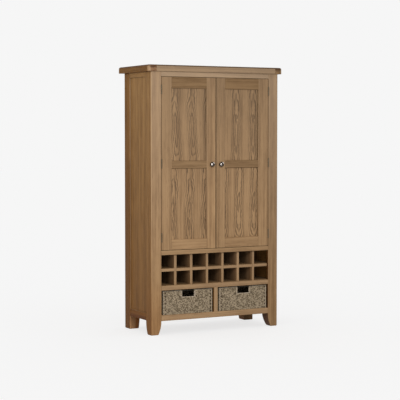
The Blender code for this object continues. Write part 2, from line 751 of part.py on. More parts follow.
def make_door(word, side):
    """One framed door, built closed round an empty on its hinge axis. t is a distance from the middle."""
    axis = pivot(word + "_door_axis", Vector((side * HINGE_X, HINGE_Y, DOOR_BOTTOM)))
    name = word + "_door_"
    rows = door_rows()
    meeting_edge = DOOR_GAP / 2
    meeting_inner = meeting_edge + MEETING_STILE
    hinge_edge = HALF_OPENING - DOOR_GAP
    hinge_inner = hinge_edge - HINGE_STILE
    knob_centre = (side * KNOB_DISTANCE, sum(rows["middle"]) / 2)

    openings = {
        "lower": (rows["bottom"][1], rows["middle"][0]),
        "upper": (rows["middle"][1], rows["top"][0]),
    }
    panel_cuts = []
    for row, (low, high) in openings.items():
        limits = (side * meeting_inner, side * hinge_inner, low, high)
        outline = sharp_rectangle(*limits, PANEL_TONGUE)
        slot = sharp_rectangle(*limits, PANEL_TONGUE + FIT)
        panel_front, panel_back = FRONT + PANEL_RECESS, DOOR_BACK - PANEL_BACKING
        solid(name + row + "_panel", prism("Y", panel_front, panel_back, outline), OAK_PANEL, axis)
        panel_cuts.append(prism("Y", panel_front - FIT, panel_back + FIT, slot))
        chamfer = [
            ring("Y", FRONT - PAST, sharp_rectangle(*limits, DOOR_FRAME_CHAMFER + PAST)),
            ring("Y", FRONT + DOOR_FRAME_CHAMFER, sharp_rectangle(*limits)),
        ]
        panel_cuts.append(chamfer)
    panel_tool = cutter(name + "panel_slots", panel_cuts, axis)

    joinery = {"hinge": [], "meeting": []}
    for row, (low, high) in rows.items():
        body = rectangle(FRONT, DOOR_BACK, low, high)
        ranges = door_tenon(row, low, high)
        tenon = rectangle(*grown(ranges, 0.0), ARRIS / 2)
        rings = tenoned("X", side * meeting_inner, side * hinge_inner, body, tenon)
        combine(solid(name + row + "_rail", rings, OAK_FRAME, axis), panel_tool)
        mortise = grown(ranges, FIT)
        reach = TENON_LENGTH + FIT
        meeting_limits = (side * (meeting_inner - reach), side * (meeting_inner + PAST))
        joinery["meeting"].append(block(*meeting_limits, *mortise))
        hinge_limits = (side * (hinge_inner - PAST), side * (hinge_inner + reach))
        joinery["hinge"].append(block(*hinge_limits, *mortise))
    pocket = (side * (hinge_edge - HINGE_LEAF_THICKNESS - FIT), side * (hinge_edge + PAST))
    for level in HINGE_LEVELS:
        levels = (level - HINGE_HEIGHT / 2 - FIT, level + HINGE_HEIGHT / 2 + FIT)
        joinery["hinge"].append(block(*pocket, FRONT - PAST, FRONT + HINGE_LEAF_WIDTH + FIT, *levels))
    hole = circle(knob_centre, KNOB_SPIGOT_RADIUS + FIT, KNOB_ROUND_STEPS)
    joinery["meeting"].append(prism("Y", FRONT - PAST, FRONT + KNOB_SPIGOT_LENGTH + FIT, hole))
    if side > 0:
        # A quirk sets off a narrow bead along the meeting edge of the right door.
        quirk = (meeting_edge + BEAD_WIDTH, meeting_edge + BEAD_WIDTH + BEAD_QUIRK)
        levels = (DOOR_BOTTOM - PAST, DOOR_TOP + PAST)
        joinery["meeting"].append(block(*quirk, FRONT - PAST, FRONT + BEAD_QUIRK_DEPTH, *levels))

    stiles = {"hinge": (hinge_inner, hinge_edge), "meeting": (meeting_edge, meeting_inner)}
    for stile, (t0, t1) in stiles.items():
        outline = rectangle(side * t0, side * t1, FRONT, DOOR_BACK)
        piece = solid(name + stile + "_stile", prism("Z", DOOR_BOTTOM, DOOR_TOP, outline), OAK_FRAME, axis)
        combine(piece, panel_tool)
        combine(piece, cutter(name + stile + "_joinery", joinery[stile], axis))
    make_knob(name + "knob", knob_centre, axis)
    return axis


def make_knob(name, centre, axis):
    """A turned knob: spigot, collar, neck and an oval head."""
    collar_edge = KNOB_COLLAR_RADIUS - KNOB_COLLAR_ROUND
    profile = [
        (-KNOB_SPIGOT_LENGTH, KNOB_SPIGOT_RADIUS),
        (FIT, KNOB_SPIGOT_RADIUS),
        (FIT, KNOB_COLLAR_RADIUS),
        (KNOB_COLLAR_HEIGHT - KNOB_COLLAR_ROUND, KNOB_COLLAR_RADIUS),
        (KNOB_COLLAR_HEIGHT, collar_edge),
        (KNOB_COLLAR_HEIGHT, KNOB_NECK_RADIUS),
    ]
    half_height = KNOB_HEAD_HEIGHT / 2
    head_middle = KNOB_PROJECTION - half_height
    neck_angle = -math.degrees(math.acos(KNOB_NECK_RADIUS / KNOB_RADIUS))
    for step in range(KNOB_HEAD_STEPS + 1):
        angle = math.radians(neck_angle + (KNOB_CROWN_ANGLE - neck_angle) * step / KNOB_HEAD_STEPS)
        profile.append((head_middle + half_height * math.sin(angle), KNOB_RADIUS * math.cos(angle)))
    # The crown itself is a small flat.
    profile.append((KNOB_PROJECTION, profile[-1][1] / 2))
    rings = []
    for projection, radius in profile:
        rings.append(ring("Y", FRONT - projection, circle(centre, radius, KNOB_ROUND_STEPS)))
    smooth(solid(name, rings, DARK_NICKEL, axis), 40.0)


def hinge_outline():
    """Section of a hinge leaf rolled round its pin, the plate lying on the -X side."""
    plate_in = DOOR_GAP / 2
    plate_out = plate_in + HINGE_LEAF_THICKNESS
    start = math.degrees(math.acos(-plate_in / HINGE_BARREL_RADIUS))
    end = math.degrees(math.acos(-plate_out / HINGE_BARREL_RADIUS)) - 360
    plate_end = FRONT - HINGE_Y + HINGE_LEAF_WIDTH
    outline = arc((0.0, 0.0), HINGE_BARREL_RADIUS, start, end, HINGE_ROUND_STEPS)
    return outline + [(-plate_out, plate_end), (-plate_in, plate_end)]


def knuckle_gaps(first):
    """Height ranges of every second knuckle, counted from first, where the other leaf's ones go."""
    pitch = HINGE_HEIGHT / HINGE_KNUCKLES
    ranges = []
    for index in range(first, HINGE_KNUCKLES, 2):
        low = -HINGE_HEIGHT / 2 + pitch * index - FIT / 2
        high = low + pitch + FIT
        if index == 0:
            low -= PAST
        if index == HINGE_KNUCKLES - 1:
            high += PAST
        ranges.append((low, high))
    return ranges


def leaf_mesh(name, turning):
    """Mesh of one hinge leaf about its pin: the fixed one holds the pin, the turning one is bored for it."""
    rings = prism("Z", -HINGE_HEIGHT / 2, HINGE_HEIGHT / 2, hinge_outline())
    leaf = place(name, mesh_of(name, [rings], Vector()), Vector(), AGED_BRASS)
    clear = HINGE_BARREL_RADIUS + FIT
    gaps = [block(-clear, clear, -clear, clear, *levels) for levels in knuckle_gaps(0 if turning else 1)]
    gap_tool = cutter(name + "_gaps", gaps)
    combine(leaf, gap_tool)
    radius = HINGE_PIN_RADIUS + (HINGE_PIN_CLEARANCE if turning else 0.0)
    reach = HINGE_HEIGHT / 2 + (PAST if turning else -PAST)
    pin = prism("Z", -reach, reach, circle((0.0, 0.0), radius, HINGE_ROUND_STEPS))
    pin_tool = cutter(name + "_pin", [pin])
    combine(leaf, pin_tool, "DIFFERENCE" if turning else "UNION")
    bpy.context.view_layer.update()
    graph = bpy.context.evaluated_depsgraph_get()
    mesh = bpy.data.meshes.new_from_object(leaf.evaluated_get(graph))
    if turning:
        # Its plate lies on the other side of the pin.
        mesh.transform(Matrix.Scale(-1.0, 4, Vector((1.0, 0.0, 0.0))))
        mesh.flip_normals()
    for helper in (leaf, gap_tool, pin_tool):
        bpy.data.objects.remove(helper, do_unlink=True)
    return mesh


def make_hinges(axes):
    """Three hinges to each door from one pair of leaves. The right-hand ones are turned half round."""
    fixed_mesh = leaf_mesh("post_leaf", False)
    turning_mesh = leaf_mesh("door_leaf", True)
    for word, side in (("left", -1), ("right", 1)):
        turn = (0.0, 0.0 if side < 0 else math.pi, 0.0)
        for height, level in zip(("bottom", "middle", "top"), HINGE_LEVELS):
            origin = Vector((side * HINGE_X, HINGE_Y, level))
            stem = word + "_" + height + "_hinge"
            fixed = place(stem + "_post_leaf", fixed_mesh, origin)
            turning = place(stem + "_door_leaf", turning_mesh, origin, None, axes[word])
            for leaf in (fixed, turning):
                leaf.rotation_euler = turn
                smooth(leaf)


def rounded_plan(x0, x1, y0, y1, radius):
    """Plan of a box with round corners."""
    left, right = x0 + radius, x1 - radius
    front, back = y0 + radius, y1 - radius
    centres = ((right, back), (left, back), (left, front), (right, front))
    outline = []
    for quarter, centre in enumerate(centres):
        outline += arc(centre, radius, 90 * quarter, 90 * quarter + 90, BASKET_CORNER_STEPS)
    return outline


def make_basket(word, side):
    """An open basket with a thick rim and a hand hole in front, built round an empty at its bay's mouth."""
    near = BASKET_MUNTIN_WIDTH / 2 + BASKET_SIDE_CLEARANCE
    far = HALF_OPENING - BASKET_SIDE_CLEARANCE
    x0, x1 = sorted((side * near + BASKET_SHIFT, side * far + BASKET_SHIFT))
    y0, y1 = FRONT + BASKET_SETBACK, BOARD_BACK - BASKET_BACK_CLEARANCE
    low, high = BASKET_FLOOR + FIT, BASKET_BAY_TOP - BASKET_TOP_CLEARANCE
    rim_low = high - BASKET_RIM_HEIGHT
    centre = (x0 + x1) / 2
    inside = BASKET_RIM_PROUD + BASKET_WALL
    axis = pivot(word + "_basket_slide", Vector((centre, FRONT, BASKET_FLOOR)))

    def plan(level, inset):
        limits = (x0 + inset, x1 - inset, y0 + inset, y1 - inset)
        return ring("Z", level, rounded_plan(*limits, BASKET_INNER_CORNER + inside - inset))

    rings = [
        plan(low, BASKET_RIM_PROUD + BASKET_BOTTOM_CHAMFER),
        plan(low + BASKET_BOTTOM_CHAMFER, BASKET_RIM_PROUD),
        plan(rim_low, BASKET_RIM_PROUD),
        plan(rim_low + BASKET_RIM_PROUD, 0.0),
        plan(high - BASKET_RIM_PROUD, 0.0),
        plan(high, BASKET_RIM_PROUD),
        plan(high, inside),
        plan(low + BASKET_WALL, inside),
    ]
    basket = solid(word + "_basket", rings, SEAGRASS, axis)
    half = HAND_HOLE_WIDTH / 2
    levels = (rim_low - HAND_HOLE_HEIGHT, rim_low - FIT)
    hole = block(centre - half, centre + half, y0 - PAST, y0 + inside + PAST, *levels)
    combine(basket, cutter(word + "_basket_hand_hole", [hole], axis))
    smooth(basket)


for post_word, post_side in (("left", -1), ("right", 1)):
    make_post("front_" + post_word + "_post", post_side, True)
    make_post("back_" + post_word + "_post", post_side, False)
    make_side(post_word, post_side)
make_back()
make_rails()
make_boards()
make_rack()
make_basket_divider()
make_top()
door_axes = {"left": make_door("left", -1), "right": make_door("right", 1)}
make_hinges(door_axes)
make_basket("left", -1)
make_basket("right", 1)
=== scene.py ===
import json
import math
import random

import bpy
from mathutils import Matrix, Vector


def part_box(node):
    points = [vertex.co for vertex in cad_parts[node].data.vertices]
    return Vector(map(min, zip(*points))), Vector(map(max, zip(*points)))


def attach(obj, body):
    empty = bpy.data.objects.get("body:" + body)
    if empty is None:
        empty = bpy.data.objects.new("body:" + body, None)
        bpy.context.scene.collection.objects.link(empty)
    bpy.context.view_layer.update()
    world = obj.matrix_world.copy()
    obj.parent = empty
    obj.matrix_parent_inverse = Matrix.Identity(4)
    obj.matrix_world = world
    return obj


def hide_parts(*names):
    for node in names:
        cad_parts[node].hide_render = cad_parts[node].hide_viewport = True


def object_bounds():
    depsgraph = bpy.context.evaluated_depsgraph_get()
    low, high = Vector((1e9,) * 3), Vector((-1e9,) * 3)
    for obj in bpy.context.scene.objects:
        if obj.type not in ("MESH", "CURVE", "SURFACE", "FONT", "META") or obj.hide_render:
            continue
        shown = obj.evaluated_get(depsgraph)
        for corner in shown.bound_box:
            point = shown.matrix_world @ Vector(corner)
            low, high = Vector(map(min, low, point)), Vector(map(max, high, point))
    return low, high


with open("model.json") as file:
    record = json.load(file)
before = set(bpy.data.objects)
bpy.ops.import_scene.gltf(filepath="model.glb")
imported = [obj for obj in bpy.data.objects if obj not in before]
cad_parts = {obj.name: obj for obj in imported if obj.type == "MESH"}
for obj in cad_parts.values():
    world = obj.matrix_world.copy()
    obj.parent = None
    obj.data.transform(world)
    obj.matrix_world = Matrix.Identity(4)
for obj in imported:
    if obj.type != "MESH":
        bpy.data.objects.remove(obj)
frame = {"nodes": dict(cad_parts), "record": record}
cadLow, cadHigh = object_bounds()
cadNodes = frame["nodes"]
print("frame loaded,", len(cadNodes), "nodes")


# camera, at the photograph's viewing angle

shot = {
    "place": (-4.4171, -8.2964, 1.4135),
    "azimuth": -27.983,
    "pitch": 2.927,
    "lens": 115.44,
    "sensor": 36.0,
    "reach": 200,
}


def makeCamera():
    turn = (math.radians(90 - shot["pitch"]), 0, math.radians(shot["azimuth"]))
    bpy.ops.object.camera_add(location=shot["place"], rotation=turn)
    camera = bpy.context.object
    camera.data.lens = shot["lens"]
    camera.data.sensor_width = shot["sensor"]
    camera.data.sensor_fit = "HORIZONTAL"
    camera.data.clip_end = shot["reach"]
    bpy.context.scene.camera = camera


makeCamera()
print("camera set")


# helpers for node trees, which work in the tree that their sockets belong to

def addNode(tree, kind, **settings):
    node = tree.nodes.new(kind)
    for name, value in settings.items():
        setattr(node, name, value)
    return node


def feed(socket, source):
    if isinstance(source, bpy.types.NodeSocket):
        socket.id_data.links.new(source, socket)
    else:
        socket.default_value = source


def feedNamed(node, sources):
    for label, source in sources.items():
        feed(node.inputs[label], source)


def addFed(kind, sources, **settings):
    tree = next(source.id_data for source in sources if isinstance(source, bpy.types.NodeSocket))
    node = addNode(tree, kind, **settings)
    for socket, source in zip(node.inputs, sources):
        feed(socket, source)
    return node


def calc(operation, *sources):
    return addFed("ShaderNodeMath", sources, operation=operation).outputs[0]


def times(value, *factors):
    for factor in factors:
        value = calc("MULTIPLY", value, factor)
    return value


def calcVector(operation, *sources):
    node = addFed("ShaderNodeVectorMath", sources, operation=operation)
    return node.outputs["Value" if operation == "DOT_PRODUCT" else "Vector"]


def scaled(vector, factor):
    node = addFed("ShaderNodeVectorMath", (vector,), operation="SCALE")
    feed(node.inputs["Scale"], factor)
    return node.outputs["Vector"]


def split(vector):
    return tuple(addFed("ShaderNodeSeparateXYZ", (vector,)).outputs)


def gather(*parts):
    return addFed("ShaderNodeCombineXYZ", parts).outputs[0]


# a noise is given by its scales along X, Y and Z, its detail, and its roughness unless that is a half
def noise(vector, scales, detail, roughness=0.5):
    node = addFed("ShaderNodeTexNoise", (calcVector("MULTIPLY", vector, scales),))
    feedNamed(node, {"Scale": 1.0, "Detail": detail, "Roughness": roughness})
    return node.outputs["Fac"]


# the same noise about zero
def waver(vector, *settings):
    return calc("SUBTRACT", noise(vector, *settings), 0.5)


def ranged(value, low, high, toLow=0.0, toHigh=1.0):
    return addFed("ShaderNodeMapRange", (value, low, high, toLow, toHigh)).outputs["Result"]


def mixColour(factor, first, second):
    node = addFed("ShaderNodeMix", (factor,), data_type="RGBA")
    feedNamed(node, {"A": first, "B": second})
    return [socket for socket in node.outputs if socket.type == "RGBA"][0]


def tinted(factor, colour, tint):
    return mixColour(factor, colour, calcVector("MULTIPLY", colour, tint))


origin = (0, 0, 0)
white = (1, 1, 1, 1)


# an input's kind goes by its value: three numbers are a vector, four a colour
def newGroup(name, inputs, outputs):
    group = bpy.data.node_groups.new(name, "ShaderNodeTree")
    for label, value in inputs.items():
        kind = {3: "Vector", 4: "Color"}[len(value)] if isinstance(value, tuple) else "Float"
        socket = group.interface.new_socket(label, in_out="INPUT", socket_type="NodeSocket" + kind)
        socket.default_value = value
    for label, kind in outputs.items():
        group.interface.new_socket(label, in_out="OUTPUT", socket_type="NodeSocket" + kind)
    return group, group.nodes.new("NodeGroupInput").outputs, group.nodes.new("NodeGroupOutput").inputs


def addGroup(tree, group, **values):
    node = addNode(tree, "ShaderNodeGroup", node_tree=group)
    feedNamed(node, values)
    return node.outputs


def newMaterial(name):
    material = bpy.data.materials.new(name)
    material.use_nodes = True
    tree = material.node_tree
    return material, tree, tree.nodes["Principled BSDF"]


def mixShaders(factor, first, second, output):
    node = addFed("ShaderNodeMixShader", (factor, first.outputs[0], second.outputs[0]))
    feed(factor.id_data.nodes[output].inputs["Surface"], node.outputs[0])


# floor, world and lamps

studio = {
    "pale": 0.9216,  # what the camera sees of floor and background
    "ambient": 0.48,
    "floorSize": 80,
    "floorColour": 0.90,
    "floorShare": 0.44,  # how much of the lit floor shows, so how deep the shadow is
    "lamps": (
        # name, place, what it is aimed at, size, power
        ("keyLamp", (-0.9, -3.6, 2.3), (0, -0.2, 1.0), 1.2, 90),
        ("sideLamp", (-3.4, 0.5, 2.6), (-0.5, 0, 1.0), 0.7, 30),
        ("lowLamp", (-1.1, -2.8, 0.3), (0, -0.2, 0.5), 1.2, 18),
    ),
}


# mirrors and glass see what the camera sees
def addStraightRays(tree, cameraShare):
    path = addNode(tree, "ShaderNodeLightPath")
    seen = calc("MULTIPLY", path.outputs["Is Camera Ray"], cameraShare)
    seen = calc("MAXIMUM", seen, path.outputs["Is Glossy Ray"])
    return calc("MAXIMUM", seen, path.outputs["Is Transmission Ray"])


def makeWorld():
    world = bpy.data.worlds.new("studioWorld")
    bpy.context.scene.world = world
    world.use_nodes = True
    tree = world.node_tree
    light = tree.nodes["Background"]
    seen = addNode(tree, "ShaderNodeBackground")
    for shader, strength in ((light, studio["ambient"]), (seen, studio["pale"])):
        feedNamed(shader, {"Color": white, "Strength": strength})
    mixShaders(addStraightRays(tree, 1.0), light, seen, "World Output")


def makeFloor():
    bpy.ops.object.select_all(action="DESELECT")
    bpy.ops.mesh.primitive_plane_add(size=studio["floorSize"])
    floor = bpy.context.object
    floor.name = "studioFloor"
    material, tree, shader = newMaterial("paleFloor")
    grey = (studio["floorColour"],) * 3 + (1,)
    feedNamed(shader, {"Base Color": grey, "Roughness": 1.0, "Specular IOR Level": 0.0})
    # open floor comes out at the background's white, and only the shadow is darker
    lit = studio["floorColour"] * studio["ambient"]
    share = studio["floorShare"]
    glow = addNode(tree, "ShaderNodeEmission")
    glow.inputs["Strength"].default_value = (studio["pale"] - share * lit) / (1 - share)
    mixShaders(addStraightRays(tree, 1 - share), shader, glow, "Material Output")
    floor.data.materials.append(material)
    return floor


# the lamps light all but the floor, which keeps an even white round the soft shadow
def makeLamps(floor):
    litThings = bpy.data.collections.new("litThings")
    litThings.objects.link(floor)
    litThings.collection_objects[0].light_linking.link_state = "EXCLUDE"
    for name, place, target, size, power in studio["lamps"]:
        bpy.ops.object.light_add(type="AREA", location=place)
        lamp = bpy.context.object
        lamp.name = name
        lamp.rotation_euler = (Vector(place) - Vector(target)).to_track_quat("Z", "Y").to_euler()
        lamp.data.size = size
        lamp.data.energy = power
        lamp.light_linking.receiver_collection = litThings


makeWorld()
makeLamps(makeFloor())
bpy.context.scene.view_settings.view_transform = "Standard"
print("stage lit")


# oak: straight grain along Z of the vector that comes in

grain = {
    "sway": ((3, 3, 1.1), 1),
    "broad": ((16, 16, 0.5), 1),
    "streak": ((75, 75, 1.3), 3, 0.6),
    "fibre": ((420, 420, 9), 2),
    "cloud": ((30, 30, 7), 2),
    "pore": ((800, 800, 26), 1),
    "patch": ((38, 60, 60), 2),
    "swayBy": 0.02,
    "weights": {"streak": 1.6, "broad": 1.0, "fibre": 0.5, "cloud": 0.9},
    "level": 0.6,  # between deep and pale, without streaks
    "poreEdge": (0.56, 0.68),
    "poreStreaks": (0.62, 0.42),  # pores crowd in the dark streaks
    "endFacing": (0.75, 0.95),
    "endPatch": (0.40, 0.60, 0.35, 0.85),
    "endTint": (0.42, 0.36, 0.3),
    "fibreRise": 0.5,
    "fibreRough": (0.16, 0.50),
    "poreRough": 0.2,
}


def makeOakGrain():
    tree, inputs, outputs = newGroup(
        "oakGrain",
        dict(Vector=origin, Normal=origin, Pale=white, Deep=white, Streaks=0.5, Pores=0.4),
        dict(Colour="Color", Height="Float", Roughness="Float"),
    )
    sway = times(waver(inputs["Vector"], *grain["sway"]), grain["swayBy"])
    vector = calcVector("ADD", inputs["Vector"], gather(sway, sway))
    parts = {name: noise(vector, *grain[name]) for name in grain["weights"]}
    shade = 0.0
    for name, weight in grain["weights"].items():
        shade = calc("MULTIPLY_ADD", calc("SUBTRACT", parts[name], 0.5), weight, shade)
    shade = calc("MULTIPLY_ADD", shade, inputs["Streaks"], grain["level"])
    shade = addFed("ShaderNodeClamp", (shade,)).outputs[0]
    colour = mixColour(shade, inputs["Deep"], inputs["Pale"])
    pore = ranged(noise(vector, *grain["pore"]), *grain["poreEdge"])
    pore = times(pore, ranged(parts["streak"], *grain["poreStreaks"]))
    # end grain drinks in more finish
    across = calc("ABSOLUTE", split(inputs["Normal"])[2])
    patch = ranged(noise(vector, *grain["patch"]), *grain["endPatch"])
    patch = times(ranged(across, *grain["endFacing"]), patch)
    dark = calc("MAXIMUM", times(pore, inputs["Pores"]), patch)
    darkest = calcVector("MULTIPLY", inputs["Deep"], grain["endTint"])
    feed(outputs["Colour"], mixColour(dark, colour, darkest))
    height = times(parts["fibre"], grain["fibreRise"])
    feed(outputs["Height"], calc("SUBTRACT", height, pore))
    rough = calc("MULTIPLY_ADD", parts["fibre"], *grain["fibreRough"])
    feed(outputs["Roughness"], calc("MULTIPLY_ADD", pore, grain["poreRough"], rough))
    return tree


# crown-cut figure: rings of a leaning trunk cut by the panel's plane, repeated leaf by leaf

crownCut = {
    "bend": ((0.5, 1, 4.5), 1),
    "swell": ((3, 1.7, 7), 2),
    "drift": ((60, 2.3, 22), 2),
    "bendBy": 0.05,
    "swellBy": 0.055,
    "driftBy": 0.013,
    "rings": 78,  # in a metre
    "ringDarkens": (0.40, 0.78),
    "ringEnds": (1.0, 0.88),
    "flank": (0.052, 0.026, 0.12, 1.0),  # faint towards a leaf's edges
    "tip": (0.10, 0.60, 0.40, 1.0),  # thin over the top of each arch
    "leastRadius": 0.002,
}


def makeCrownFigure():
    tree, inputs, outputs = newGroup(
        "crownFigure",
        dict(Vector=origin, Leaf=0.133, Middle=0.0, Lean=0.09, Foot=1.0, Seed=0.0),
        dict(Line="Float"),
    )
    x, _, z = split(inputs["Vector"])
    half = times(inputs["Leaf"], 0.5)
    across = calc("SUBTRACT", x, inputs["Middle"])
    across = calc("WRAP", across, half, times(half, -1))
    rise = calc("SUBTRACT", z, inputs["Foot"])
    point = gather(across, inputs["Seed"], rise)
    bend = waver(point, *crownCut["bend"])
    swell = waver(point, *crownCut["swell"])
    drift = waver(point, *crownCut["drift"])
    offset = calc("MULTIPLY_ADD", bend, crownCut["bendBy"], across)
    depth = calc("MULTIPLY_ADD", swell, crownCut["swellBy"], times(rise, inputs["Lean"]))
    squares = [calc("POWER", side, 2.0) for side in (offset, depth)]
    radius = calc("SQRT", calc("ADD", *squares))
    radius = calc("MULTIPLY_ADD", drift, crownCut["driftBy"], radius)
    ring = calc("FRACT", times(radius, crownCut["rings"]))
    line = ranged(ring, *crownCut["ringDarkens"])
    line = times(line, ranged(ring, *crownCut["ringEnds"]))
    aside = calc("ABSOLUTE", offset)
    slope = calc("DIVIDE", aside, calc("MAXIMUM", radius, crownCut["leastRadius"]))
    flank = ranged(aside, *crownCut["flank"])
    tip = ranged(slope, *crownCut["tip"])
    feed(outputs["Line"], times(line, flank, tip))
    return tree


# painted light and shade: a painted sheen on the front, painted highlights on round corners, painted shade
# on the sides that deepens downwards, and painted shade in grooves, gaps, recesses and low down

lightPainting = {
    "squarely": (0.5, 0.9),  # a face that looks this squarely counts as looking that way
    "sheenHeights": (0.3, 1.85),
    "sheenColour": (0.40, 0.31, 0.225, 1),
    "sideHeights": (0.1, 1.8),
    "sideTints": ((0.73, 0.56, 0.31, 1), (1.0, 0.91, 0.68, 1)),
    "grooveAcross": (0.500, 0.504),
    "grooveHeights": (0.10, 0.14),
    "grooveTint": (0.50, 0.38, 0.24),
    "legAcross": (0.474, 0.468),  # where the painted light ends and the painted shadow starts on a back leg's front
    "legHeights": (0.14, 0.12),
    "cornerFacing": (0.2, 0.42),
    "cornerHeights": (0.15, 1.2, 0.1, 1.0),
    "cornerColour": (0.43, 0.29, 0.17, 1),
    "Shade": (0.95, 1.7),  # heights
    "Deep": (-0.215, -0.10),  # depths
    "Dim": (0.050, 0.014),  # distances from the panel's edge
    "Seam": (0.0045, 0.003),  # distances from the middle
}


def makePaintedLight():
    tree, inputs, outputs = newGroup(
        "lightFade",
        dict(
            Colour=white,
            Vector=origin,
            Normal=origin,
            Fade=0.3,  # painted sheen at the top of the front
            Bleach=0.0,  # painted sheen all over the front
            Shade=0.0,  # painted shade, darker upwards
            Deep=0.0,  # painted shade, darker backwards
            Dim=0.0,  # painted shade towards the right edge of a panel
            RightEdge=0.0,
            Seam=0.0,  # painted shade on the edges where the doors meet
            # painted highlight on round corners
            Corner=0.55,
            # tint of the painted shade on sideways faces
            Side=white,
            Within=white,  # painted shade on what faces the middle of the cabinet
            Groove=0.0,  # painted shade on the edge beside a side panel
            Outer=white,  # painted light and shade of the two bands on a back leg's front
            Inner=white,
            Damp=white,  # painted shade on what is low
            DampHigh=0.40,
            DampLow=0.06,
        ),
        dict(Colour="Color"),
    )
    x, y, z = split(inputs["Vector"])
    facingX, facingY, _ = split(inputs["Normal"])
    aside = calc("ABSOLUTE", x)
    sideways = calc("ABSOLUTE", facingX)
    front = ranged(times(facingY, -1), *lightPainting["squarely"])
    # painted sheen: front faces turn paler and greyer, the more the higher
    sheen = ranged(z, *lightPainting["sheenHeights"])
    sheen = calc("MULTIPLY_ADD", sheen, inputs["Fade"], inputs["Bleach"])
    colour = mixColour(times(front, sheen), inputs["Colour"], lightPainting["sheenColour"])
    # painted shade on sideways faces, warmer and darker downwards
    sideShade = mixColour(ranged(z, *lightPainting["sideHeights"]), *lightPainting["sideTints"])
    sideShade = calcVector("MULTIPLY", sideShade, inputs["Side"])
    colour = tinted(ranged(sideways, *lightPainting["squarely"]), colour, sideShade)
    # painted shade on faces that look towards the middle
    away = times(calc("SIGN", x), facingX, -1)
    colour = tinted(ranged(away, *lightPainting["squarely"]), colour, inputs["Within"])
    # painted shade on front faces beside a side panel
    groove = ranged(aside, *lightPainting["grooveAcross"])
    groove = times(groove, ranged(z, *lightPainting["grooveHeights"]), front, inputs["Groove"])
    colour = tinted(groove, colour, lightPainting["grooveTint"])
    # painted light and shadow on the front of a back leg, in two bands
    inward = ranged(aside, *lightPainting["legAcross"])
    legTint = mixColour(inward, inputs["Outer"], inputs["Inner"])
    leg = times(ranged(z, *lightPainting["legHeights"]), front)
    colour = tinted(leg, colour, legTint)
    # painted shade low down
    lowShade = ranged(z, inputs["DampHigh"], inputs["DampLow"])
    colour = tinted(lowShade, colour, inputs["Damp"])
    # painted highlight on round corners
    corner = times(sideways, calc("ABSOLUTE", facingY))
    corner = times(ranged(corner, *lightPainting["cornerFacing"]), inputs["Corner"])
    corner = times(corner, ranged(z, *lightPainting["cornerHeights"]))
    colour = mixColour(corner, colour, lightPainting["cornerColour"])
    # painted shade, darker upwards, backwards, towards a panel's right edge and at the doors' seam
    inset = calc("SUBTRACT", inputs["RightEdge"], x)
    share = 1.0
    for loss, where in (("Shade", z), ("Deep", y), ("Dim", inset), ("Seam", aside)):
        lost = times(ranged(where, *lightPainting[loss]), inputs[loss])
        share = times(calc("SUBTRACT", 1.0, lost), share)
    feed(outputs["Colour"], scaled(colour, share))
    return tree


# paler edges, partly wear and partly a painted highlight, but not on the sides

paleEdges = {
    "reach": 0.002,
    "samples": 4,
    "edge": (0.99, 0.8),  # likeness of the rounded and the flat normal
    "patch": ((14, 14, 14), 3, 0.65),
    "patchEdge": (0.35, 0.65),
    "sides": (0.9, 0.5),
}


def makePaleEdgeMask():
    tree, inputs, outputs = newGroup("edgeRub", dict(Vector=origin, Normal=origin), dict(Mask="Float"))
    bevel = addNode(tree, "ShaderNodeBevel", samples=paleEdges["samples"])
    bevel.inputs["Radius"].default_value = paleEdges["reach"]
    flat = addNode(tree, "ShaderNodeNewGeometry")
    likeness = calcVector("DOT_PRODUCT", bevel.outputs[0], flat.outputs["True Normal"])
    edge = ranged(likeness, *paleEdges["edge"])
    sideways = calc("ABSOLUTE", split(inputs["Normal"])[0])
    patch = ranged(noise(inputs["Vector"], *paleEdges["patch"]), *paleEdges["patchEdge"])
    feed(outputs["Mask"], times(edge, ranged(sideways, *paleEdges["sides"]), patch))
    return tree


oakGrain = makeOakGrain()
crownFigure = makeCrownFigure()
lightFade = makePaintedLight()
edgeRub = makePaleEdgeMask()
print("wood groups made")

oak = {
    "pale": (0.330, 0.199, 0.096),
    "deep": (0.205, 0.115, 0.051),
    "arch": (0.062, 0.031, 0.013),
    "archShare": 0.95,
    # paler edges: partly wear, partly a painted highlight
    "brightened": (0.42, 0.28, 0.16),
    "tones": {
        "pale": (1.08, 1.08, 1.08),
        "plain": (1.0, 1.0, 1.0),
        "mellow": (0.94, 0.94, 0.94),
        "dusky": (0.86, 0.86, 0.86),
        "dark": (0.74, 0.74, 0.74),
        "russet": (0.94, 0.80, 0.76),
    },
    "turns": {"Z": (0, 0, 0), "X": (0, -math.pi / 2, 0), "Y": (math.pi / 2, 0, 0)},
    "apart": 5,  # how far away in the noise a board is cut
    "topShadeFacing": ((0.2, 0.5), (0.99, 0.9)),  # how far up the top's round edge looks
    "darkEndDepths": (0.024, 0.015),  # under the top, where the end grain darkens
    "specular": 0.10,
    "bump": (0.25, 0.0006),  # strength and distance
    "eased": (0.0012, 4),  # radius of each arris, and samples
}


def toned(colour, tone):
    return tuple(part * share for part, share in zip(colour, tone)) + (1,)


def addBump(shader, height, strength, distance):
    bump = addNode(height.id_data, "ShaderNodeBump")
    feedNamed(bump, {"Strength": strength, "Distance": distance, "Height": height})
    feed(shader.inputs["Normal"], bump.outputs[0])
    return bump


# painted shade along the top's round edge, which faces up, and darker end grain in its upper half
def paintTopShade(coords, facing):
    up = split(coords["Normal"])[2]
    rising, flat = oak["topShadeFacing"]
    topShade = times(ranged(up, *rising), ranged(up, *flat))
    ends = ranged(calc("ABSOLUTE", split(facing)[2]), *grain["endFacing"])
    levels = [cadHigh[2] - depth for depth in oak["darkEndDepths"]]
    upperEnds = ranged(split(coords["Object"])[2], *levels)
    return calc("MAXIMUM", topShade, times(ends, upperEnds))


